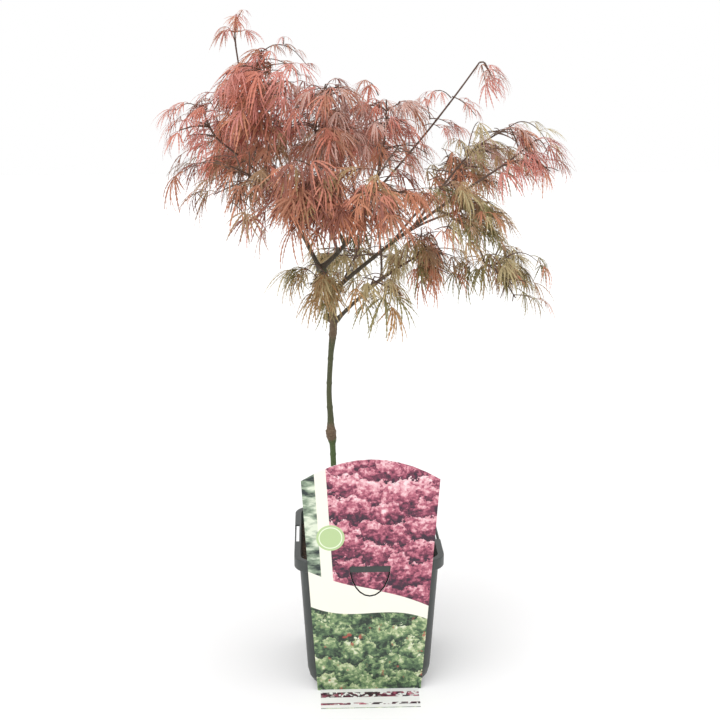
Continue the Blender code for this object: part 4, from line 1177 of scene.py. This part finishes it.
def cut_short(twig):
    """The twig, smooth, as far as the first opening it comes to."""
    smooth = rounded_off(twig)
    shut = [within(OPENINGS, point) for point in smooth.points]
    length = shut.index(True) if True in shut else len(shut)
    return Twig(smooth.points[:length], smooth.radii[:length])


def place_sprays(mass):
    """The mass's single sprays as (twig, pairs of leaves, leaf size)."""
    sprays = []
    for spray in [Spray(*row) for row in SPRAYS.get(mass.name, ())]:
        foot = spray.foot or paths[mass.bough][0][-1]
        points = bowed(foot, spray.tip, UP * 2 * spray.rise, SPRAY_STEPS)
        radii = [SPUR_RADIUS * (1.1 - 0.12 * step) for step in range(SPRAY_STEPS + 1)]
        sprays.append((rounded_off(Twig(points, radii)), spray.pairs, spray.leaf))
    return sprays


paint = Bark("twig_bark")
streak = paint.streaks(2.0, 0.8)
twig_finish = paint.set(
    base_color=paint.mix(streak, (0.050, 0.026, 0.017), (0.170, 0.095, 0.062)),
    roughness=0.5,
)

middles = {}
for mass in MASSES:
    tip = paths[mass.bough][0][-1]
    middles[mass.name] = ((tip + Vector(mass.reach)) / 2 - UP * mass.leaf * LEAF_SAG, mass.spread)

growth = {}
for mass in MASSES:
    space = Space(mass.name, middles)
    twigs = grow_twigs(mass, space)
    spurs = grow_spurs(mass, twigs, space)
    sprays = place_sprays(mass)
    twigs, spurs = [[twig for twig in map(cut_short, row) if len(twig.points) > 3] for row in (twigs, spurs)]
    growth[mass.name] = (twigs, spurs, sprays, space)
    lines = []
    for twig in twigs + spurs + [twig for twig, pairs, leaf in sprays]:
        lines.append([(point, radius, 0.0) for point, radius in zip(*twig)])
    wood = path_object(f"twigs_{mass.name}", lines)
    bark_skin.run(wood, sides=6, pace=0.0045, furrow=0.12, lump=0.0, bud_gap=0.018, bark=twig_finish)
    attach(wood, "root")
    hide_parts(f"foliage_{mass.name}")

# ------------------------------------------------------------------------------------------------- leaves
# Cut leaves: each is a hand of seven narrow lobes, toothed to the rib, that hangs from the end of a thin
# stalk. The tints come by spray: brick and rose red at the top and the far ends, copper in front, and bronze
# and olive in the shade on the right and below.
TINTS = {
    "brick": (0.565, 0.195, 0.132),
    "rose": (0.560, 0.215, 0.175),
    "blush": (0.545, 0.330, 0.275),
    "clay": (0.540, 0.205, 0.140),
    "russet": (0.390, 0.168, 0.098),
    "copper": (0.520, 0.215, 0.122),
    "bronze": (0.370, 0.235, 0.112),
    "khaki": (0.470, 0.380, 0.200),
    "olive": (0.240, 0.205, 0.082),
    "maroon": (0.250, 0.092, 0.064),
    "ochre": (0.430, 0.240, 0.095),
    "umber": (0.310, 0.185, 0.100),
}
SEASONS = {
    "red": ("brick", "rose", "brick", "russet", "copper", "rose"),
    "rose": ("rose", "blush", "copper", "rose"),
    "blush": ("blush", "rose", "russet", "brick", "blush", "clay"),
    "russet": ("russet", "brick", "umber", "copper", "umber", "maroon"),
    "copper": ("copper", "clay", "russet", "bronze", "copper", "maroon"),
    "bronze": ("bronze", "khaki", "olive", "umber", "copper"),
    "gold": ("khaki", "bronze", "khaki", "blush"),
    "olive": ("olive", "khaki", "olive", "bronze"),
    "ochre": ("ochre", "khaki", "bronze", "olive", "ochre"),
    "umber": ("umber", "olive", "bronze", "copper", "khaki"),
}
LEAF_OVERLAP, LEAF_PROUD = 0.045, 0.006  # how far into the next mass's room, and past the solids' box
LEAF_SWING, LEAF_TILT, LEAF_ROLL, LEAF_SHARE = (-0.55, 0.55), (0.10, 0.80), (-0.50, 0.50), (0.60, 1.1)
CROWN_MIDDLE, LEAF_LEAN, SINGLE_LEAN = (-0.030, 0.010), 1.4, 0.3  # leaves lean out from the crown's middle
BACK_SHARE, FULL_LEAN_AT = 0.4, 0.12
SPRAY_KEEPS_TINT, PAINTED_LIGHT_SHARE = 0.6, 0.7  # shares of the leaves: in their spray's tint, and given painted shade or painted light
LEAF_SCALE, TUFT_LEAF_SCALE = 0.80, 0.9
SPRAY_PACE = 0.25
END_TURN, SIDE_TURN = 0.5, 0.9  # how far leaves turn from the twig, at its end and along it
LEAF_SHAPES, LOBE_STEPS, STALK_STEPS, STALK_SIDES = 8, 8, 3, 3
BLADE_HALF, TOOTH, STALK_RADIUS, STALK_BOW = 0.0075, 0.021, 0.0085, 0.05  # as shares of the leaf's size
LOBE_CLOSING = 0.42  # a hanging leaf closes its lobes a little
LOBE_SWING, LOBE_STRETCH, LOBE_CURL = (-9, 9), (0.72, 1.12), (-18, 18)  # degrees, share of length, degrees
FOOT_DIP, TIP_DIP = (-14, 10), (44, 76)  # how far a lobe hangs below level, in degrees

# Small round windows to the sky inside the crown, seen in the same way as its openings.
WINDOW_RADIUS = 0.0040
WINDOWS = (
    (-0.196, 0.751), (-0.108, 0.762), (-0.082, 0.737), (0.025, 0.696), (0.040, 0.668), (0.074, 0.706),
    (0.099, 0.715), (0.161, 0.690), (0.090, 0.605), (0.108, 0.586), (0.001, 0.621), (-0.023, 0.571),
    (-0.226, 0.722), (-0.164, 0.652), (0.083, 0.714), (0.067, 0.701), (0.045, 0.711), (0.164, 0.649),
    (0.175, 0.717), (0.096, 0.707), (-0.207, 0.755), (0.014, 0.545), (0.056, 0.721), (0.098, 0.590),
    (0.023, 0.572), (-0.006, 0.746), (-0.039, 0.789), (0.169, 0.729), (-0.065, 0.788), (-0.125, 0.630),
    (-0.036, 0.592), (0.021, 0.735), (-0.067, 0.746), (-0.178, 0.721), (0.166, 0.699), (0.049, 0.695),
    (0.024, 0.767), (0.034, 0.714), (-0.205, 0.735), (0.018, 0.600), (0.002, 0.577), (-0.015, 0.626),
    (0.170, 0.744), (0.130, 0.680), (0.107, 0.669), (-0.202, 0.716), (0.120, 0.578), (0.067, 0.737),
    (-0.218, 0.702), (0.018, 0.618), (0.169, 0.567), (0.215, 0.728), (0.159, 0.743), (0.190, 0.734),
    (-0.027, 0.762),
)

# Painted shade and painted light: leaves here take their season's darkest tint where the crown is shaded, and
# its palest where it catches the light.
PAINTED_SHADE_OVALS = [Oval(*row) for row in (
    (-0.078, 0.695, 0.058, 0.017), (-0.203, 0.782, 0.013, 0.012), (0.010, 0.693, 0.036, 0.012),
    (0.055, 0.675, 0.018, 0.008), (0.080, 0.747, 0.013, 0.016), (0.150, 0.595, 0.018, 0.013),
    (-0.088, 0.559, 0.018, 0.012), (-0.120, 0.616, 0.023, 0.009), (0.023, 0.605, 0.034, 0.010),
    (0.082, 0.624, 0.013, 0.010), (-0.238, 0.682, 0.018, 0.013), (-0.196, 0.659, 0.016, 0.013),
    (0.218, 0.672, 0.044, 0.009),
)]
PAINTED_LIGHT_OVALS = [Oval(*row) for row in (
    (-0.041, 0.791, 0.023, 0.016), (-0.073, 0.745, 0.016, 0.013), (-0.007, 0.747, 0.036, 0.018),
    (0.039, 0.772, 0.029, 0.017), (0.184, 0.727, 0.034, 0.018), (-0.204, 0.710, 0.023, 0.021),
    (-0.169, 0.716, 0.016, 0.018), (-0.100, 0.654, 0.039, 0.010, -15), (-0.042, 0.642, 0.026, 0.010),
    (0.033, 0.552, 0.016, 0.029), (0.191, 0.568, 0.023, 0.018), (0.164, 0.644, 0.013, 0.010),
    (-0.055, 0.579, 0.029, 0.010),
)]


def over_window(root, end):
    """Whether the line from root to end passes over a window, as seen from the front."""
    foot, run = seen_at(root), seen_at(end) - seen_at(root)
    for window in WINDOWS:
        offset = Vector(window) - foot
        share = min(max(offset.dot(run) / run.length_squared, 0), 1)
        if (offset - run * share).length < WINDOW_RADIUS:
            return True
    return False


def past_box(point):
    """Whether the point stands further out of the solids' box, to any side, than leaves may."""
    low, high = cad_corners
    return any(not low[i] - LEAF_PROUD <= point[i] <= high[i] + LEAF_PROUD for i in (0, 1))


def with_painted_light(tint, season, point):
    """The tint, or the season's darkest one as painted shade where the point is in the shade, or its palest as
    painted light in the light.
    """
    if within(PAINTED_SHADE_OVALS, point):
        return min(season, key=lambda name: sum(TINTS[name]))
    if within(PAINTED_LIGHT_OVALS, point):
        return max(season, key=lambda name: sum(TINTS[name]))
    return tint


def add_lobe(made, centre, angle, length, dips, curl):
    """One lobe: a narrow blade that bends down along its length, with a forward tooth to each side."""
    point, before = centre.copy(), None
    for step in range(LOBE_STEPS + 1):
        t = step / LOBE_STEPS
        down = math.radians(dips[0] + (dips[1] - dips[0]) * t**0.8)
        level = Matrix.Rotation(math.radians(angle + curl * t), 3, "Z") @ Vector((1, 0, 0))
        way = level * math.cos(down) - UP * math.sin(down)
        side = UP.cross(level)
        half = BLADE_HALF * (0.45 + 0.9 * math.sin(math.pi * t**0.8)) * (1 - t**6)
        if step == LOBE_STEPS:
            rail = [made.verts.new(point)] * 2
        else:
            rail = [made.verts.new(point + side * half), made.verts.new(point - side * half)]
        if before:
            reach = TOOTH * length * max(math.sin(math.pi * t**0.75), 0) ** 0.8 + half
            forward = way * reach * 0.35 - UP * reach * 0.25
            teeth = [made.verts.new(point + side * reach * hand + forward) for hand in (1, -1)]
            left, right = before
            outline = [left, right, teeth[1], rail[1], rail[0], teeth[0]]
            if rail[0] is rail[1]:
                outline = [left, right, rail[0]]
                for tooth in teeth:
                    made.verts.remove(tooth)
            made.faces.new(outline)
        before = rail
        point += way * length / LOBE_STEPS


def make_leaf(number):
    """A leaf of unit size that points along +X, with its stalk's foot at the origin."""
    draw = random.Random(f"{SEED}shape{number}").uniform
    made = bmesh.new()
    centre = Vector((PETIOLE_FORWARD, 0, PETIOLE_RISE)).normalized() * PETIOLE_SHARE
    stalk = bowed((0, 0, 0), centre, UP * STALK_BOW, STALK_STEPS)
    rings = []
    for i, point in enumerate(stalk):
        way = (stalk[min(i + 1, STALK_STEPS)] - stalk[max(i - 1, 0)]).normalized()
        side, over = Vector((0, 1, 0)), way.cross(Vector((0, 1, 0)))
        turns = [2 * math.pi * k / STALK_SIDES for k in range(STALK_SIDES)]
        corners = [point + (side * math.cos(a) + over * math.sin(a)) * STALK_RADIUS for a in turns]
        rings.append([made.verts.new(corner) for corner in corners])
    bridge(made, rings)
    for angle, share in zip(LOBE_ANGLES, LOBE_SHARES):
        dips = (draw(*FOOT_DIP), draw(*TIP_DIP))
        angle = angle * LOBE_CLOSING + draw(*LOBE_SWING)
        add_lobe(made, centre, angle, share * draw(*LOBE_STRETCH), dips, draw(*LOBE_CURL))
    mesh = bpy.data.meshes.new(f"leaf_{number}")
    made.to_mesh(mesh)
    made.free()
    return bpy.data.objects.new(f"leaf_{number}", mesh)


Site = namedtuple("Site", "root way turn spray leaf single")


def leaf_sites(mass, twigs, spurs, sprays):
    """Where leaves stand: the place, the way of the wood there, the turn from it, the twig it belongs to, the
    size of leaf, and whether it is on a single spray."""
    sites = []
    for number, twig in enumerate(twigs + spurs):
        end, way, tuft = twig.points[-1], twig.points[-1] - twig.points[-2], mass.nodes == 1
        leaf = mass.leaf * (TUFT_LEAF_SCALE if tuft else LEAF_SCALE)
        sites += [Site(end, way, turn, number, leaf, tuft) for turn in (END_TURN, -END_TURN)]
        shares = (0.5,) if number >= len(twigs) else SPUR_SHARES
        if tuft:
            shares = ()
        elif number == 0:
            shares = [i / (mass.nodes + 1) for i in range(1, mass.nodes + 1)]
        for share in shares:
            foot, along = at_share(twig.points, share)
            sites += [Site(foot, along, turn, number, leaf, tuft) for turn in (SIDE_TURN, -SIDE_TURN)]
    for twig, pairs, leaf in sprays:
        for pair in range(pairs):
            foot, along = at_share(twig.points, 1 - pair * SPRAY_PACE)
            sites += [Site(foot, along, turn, 0, leaf, True) for turn in (END_TURN, -END_TURN)]
    return sites


def grow_leaves(mass):
    """The leaves of a mass as (root, heading, tilt, roll, size, shape, tint), where its room holds them."""
    twigs, spurs, sprays, space = growth[mass.name]
    draw = random.Random(f"{SEED}foliage_{mass.name} leaves").uniform
    tints, season = list(TINTS), SEASONS[mass.season]
    spray_tint = [season[int(draw(0, len(season)))] for _ in twigs + spurs]
    rows = []
    for site in leaf_sites(mass, twigs, spurs, sprays):
        swing, share, tilt, roll = draw(*LEAF_SWING), draw(*LEAF_SHARE), draw(*LEAF_TILT), draw(*LEAF_ROLL)
        shape, own, pick = int(draw(0, LEAF_SHAPES)), draw(0, 1), int(draw(0, len(season)))
        aside, back = site.root.x - CROWN_MIDDLE[0], site.root.y - CROWN_MIDDLE[1]
        outward = Vector((aside, back * BACK_SHARE, 0)) / FULL_LEAN_AT
        outward /= max(outward.length, 1)
        way = level_heading(site.way, site.turn) + outward * (SINGLE_LEAN if site.single else LEAF_LEAN)
        heading = level_heading(way, swing)
        share = (share + 1) / 2 if site.single else share
        leaf = Leaf(site.root, heading, site.leaf * share, LEAF_DIP + math.degrees(mass.hang))
        centre, outline = leaf_points(leaf)
        end = outline[len(outline) // 2]
        middle = centre.lerp(end, 0.5)
        if over_window(centre, end) or past_box(end):
            continue
        shut = within(OPENINGS, middle) or within(OPENINGS, end)
        if site.single or space.holds([centre, *outline[1:-1:2]], -LEAF_OVERLAP) and not shut:
            tint = spray_tint[site.spray] if own < SPRAY_KEEPS_TINT else season[pick]
            # Some leaves get painted shade or painted light: their season's darkest or palest tint, by where
            # they show.
            tint = with_painted_light(tint, season, middle) if own < PAINTED_LIGHT_SHARE else tint
            angle = math.atan2(heading.y, heading.x)
            rows.append((site.root, angle, tilt + mass.hang, roll, leaf.size, shape, tints.index(tint)))
    return rows


tint_finishes = {}
for name, color in TINTS.items():
    paint = Paint(f"leaf_{name}")
    tint_finishes[f"tint_{name}"] = paint.set(base_color=color, roughness=0.55, specular_ior_level=0.35)

shapes = bpy.data.collections.new("leaf_shapes")
for number in range(LEAF_SHAPES):
    shapes.objects.link(make_leaf(number))

# Leaves on points: each point names its shape, its size and how it is turned, and its tint picks the finish.
leafing = Growth("leafing")
hands = leafing.input("shapes", "Collection")
finishes = [leafing.input(name, "Material") for name in tint_finishes]
all_shapes = leafing.add("GeometryNodeCollectionInfo", {}, hands, True, True)
turn = leafing.vector(leafing.attribute("roll"), leafing.attribute("tilt"), leafing.attribute("heading"))
leaves = leafing.add(
    "GeometryNodeInstanceOnPoints",
    {},
    leafing.start,
    instance=all_shapes,
    pick_instance=True,
    instance_index=leafing.attribute("shape"),
    rotation=leafing.add("FunctionNodeEulerToRotation", {}, turn),
    scale=leafing.scaled((1, 1, 1), leafing.attribute("size")),
)
leafing.finish(leafing.add("GeometryNodeSetShadeSmooth", {}, leaves), finishes, leafing.attribute("tint"))

for mass in MASSES:
    rows = grow_leaves(mass)
    mesh = bpy.data.meshes.new(f"leaves_{mass.name}")
    mesh.from_pydata([row[0] for row in rows], [], [])
    for place, key in enumerate(("heading", "tilt", "roll", "size", "shape", "tint"), start=1):
        mesh.attributes.new(key, "FLOAT", "POINT").data.foreach_set("value", [row[place] for row in rows])
    foliage = placed(mesh.name, mesh)
    leafing.run(foliage, shapes=shapes, **tint_finishes)
    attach(foliage, "root")
    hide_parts(f"foliage_{mass.name}")
for shape in list(shapes.objects):
    bpy.data.objects.remove(shape)
bpy.data.collections.remove(shapes)

# ------------------------------------------------------------------------------------------------- floor
# A plain pale studio floor under the pot, so much wider than the plant that its edge doesn't show. It takes
# the soft shadow that the pot stands in.
FLOOR_REACH = 6.0
PALE, PALER = (0.93, 0.93, 0.93), (0.95, 0.95, 0.95)
made = bmesh.new()
bmesh.ops.create_grid(made, x_segments=8, y_segments=8, size=FLOOR_REACH)
paint = Paint("studio_floor")
floor_finish = paint.set(base_color=paint.mix(paint.noise(3), PALE, PALER), roughness=0.85)
floor = object_of(made, "studio_floor", floor_finish)

# ------------------------------------------------------------------------------------------------- light
# White light from all round, as in a tent of white cloth, with one large soft lamp above on the left and a
# weaker one on the right.
ROOM_LIGHT = 1.0
Lamp = namedtuple("Lamp", "name place strength spread")
LAMPS = (
    Lamp("lamp_left", (-0.9, -1.2, 1.6), 0.9, 50),
    Lamp("lamp_right", (1.5, -0.8, 1.0), 0.35, 60),
)
world = bpy.data.worlds.new("studio")
world.use_nodes = True
bpy.context.scene.world = world
world.node_tree.nodes["Background"].inputs["Color"].default_value = (1, 1, 1, 1)
world.node_tree.nodes["Background"].inputs["Strength"].default_value = ROOM_LIGHT
for lamp in LAMPS:
    light = bpy.data.lights.new(lamp.name, "SUN")
    light.energy = lamp.strength
    light.angle = math.radians(lamp.spread)
    source = placed(lamp.name, light)
    source.location = lamp.place
    source.rotation_euler = Vector(lamp.place).to_track_quat("Z", "Y").to_euler()
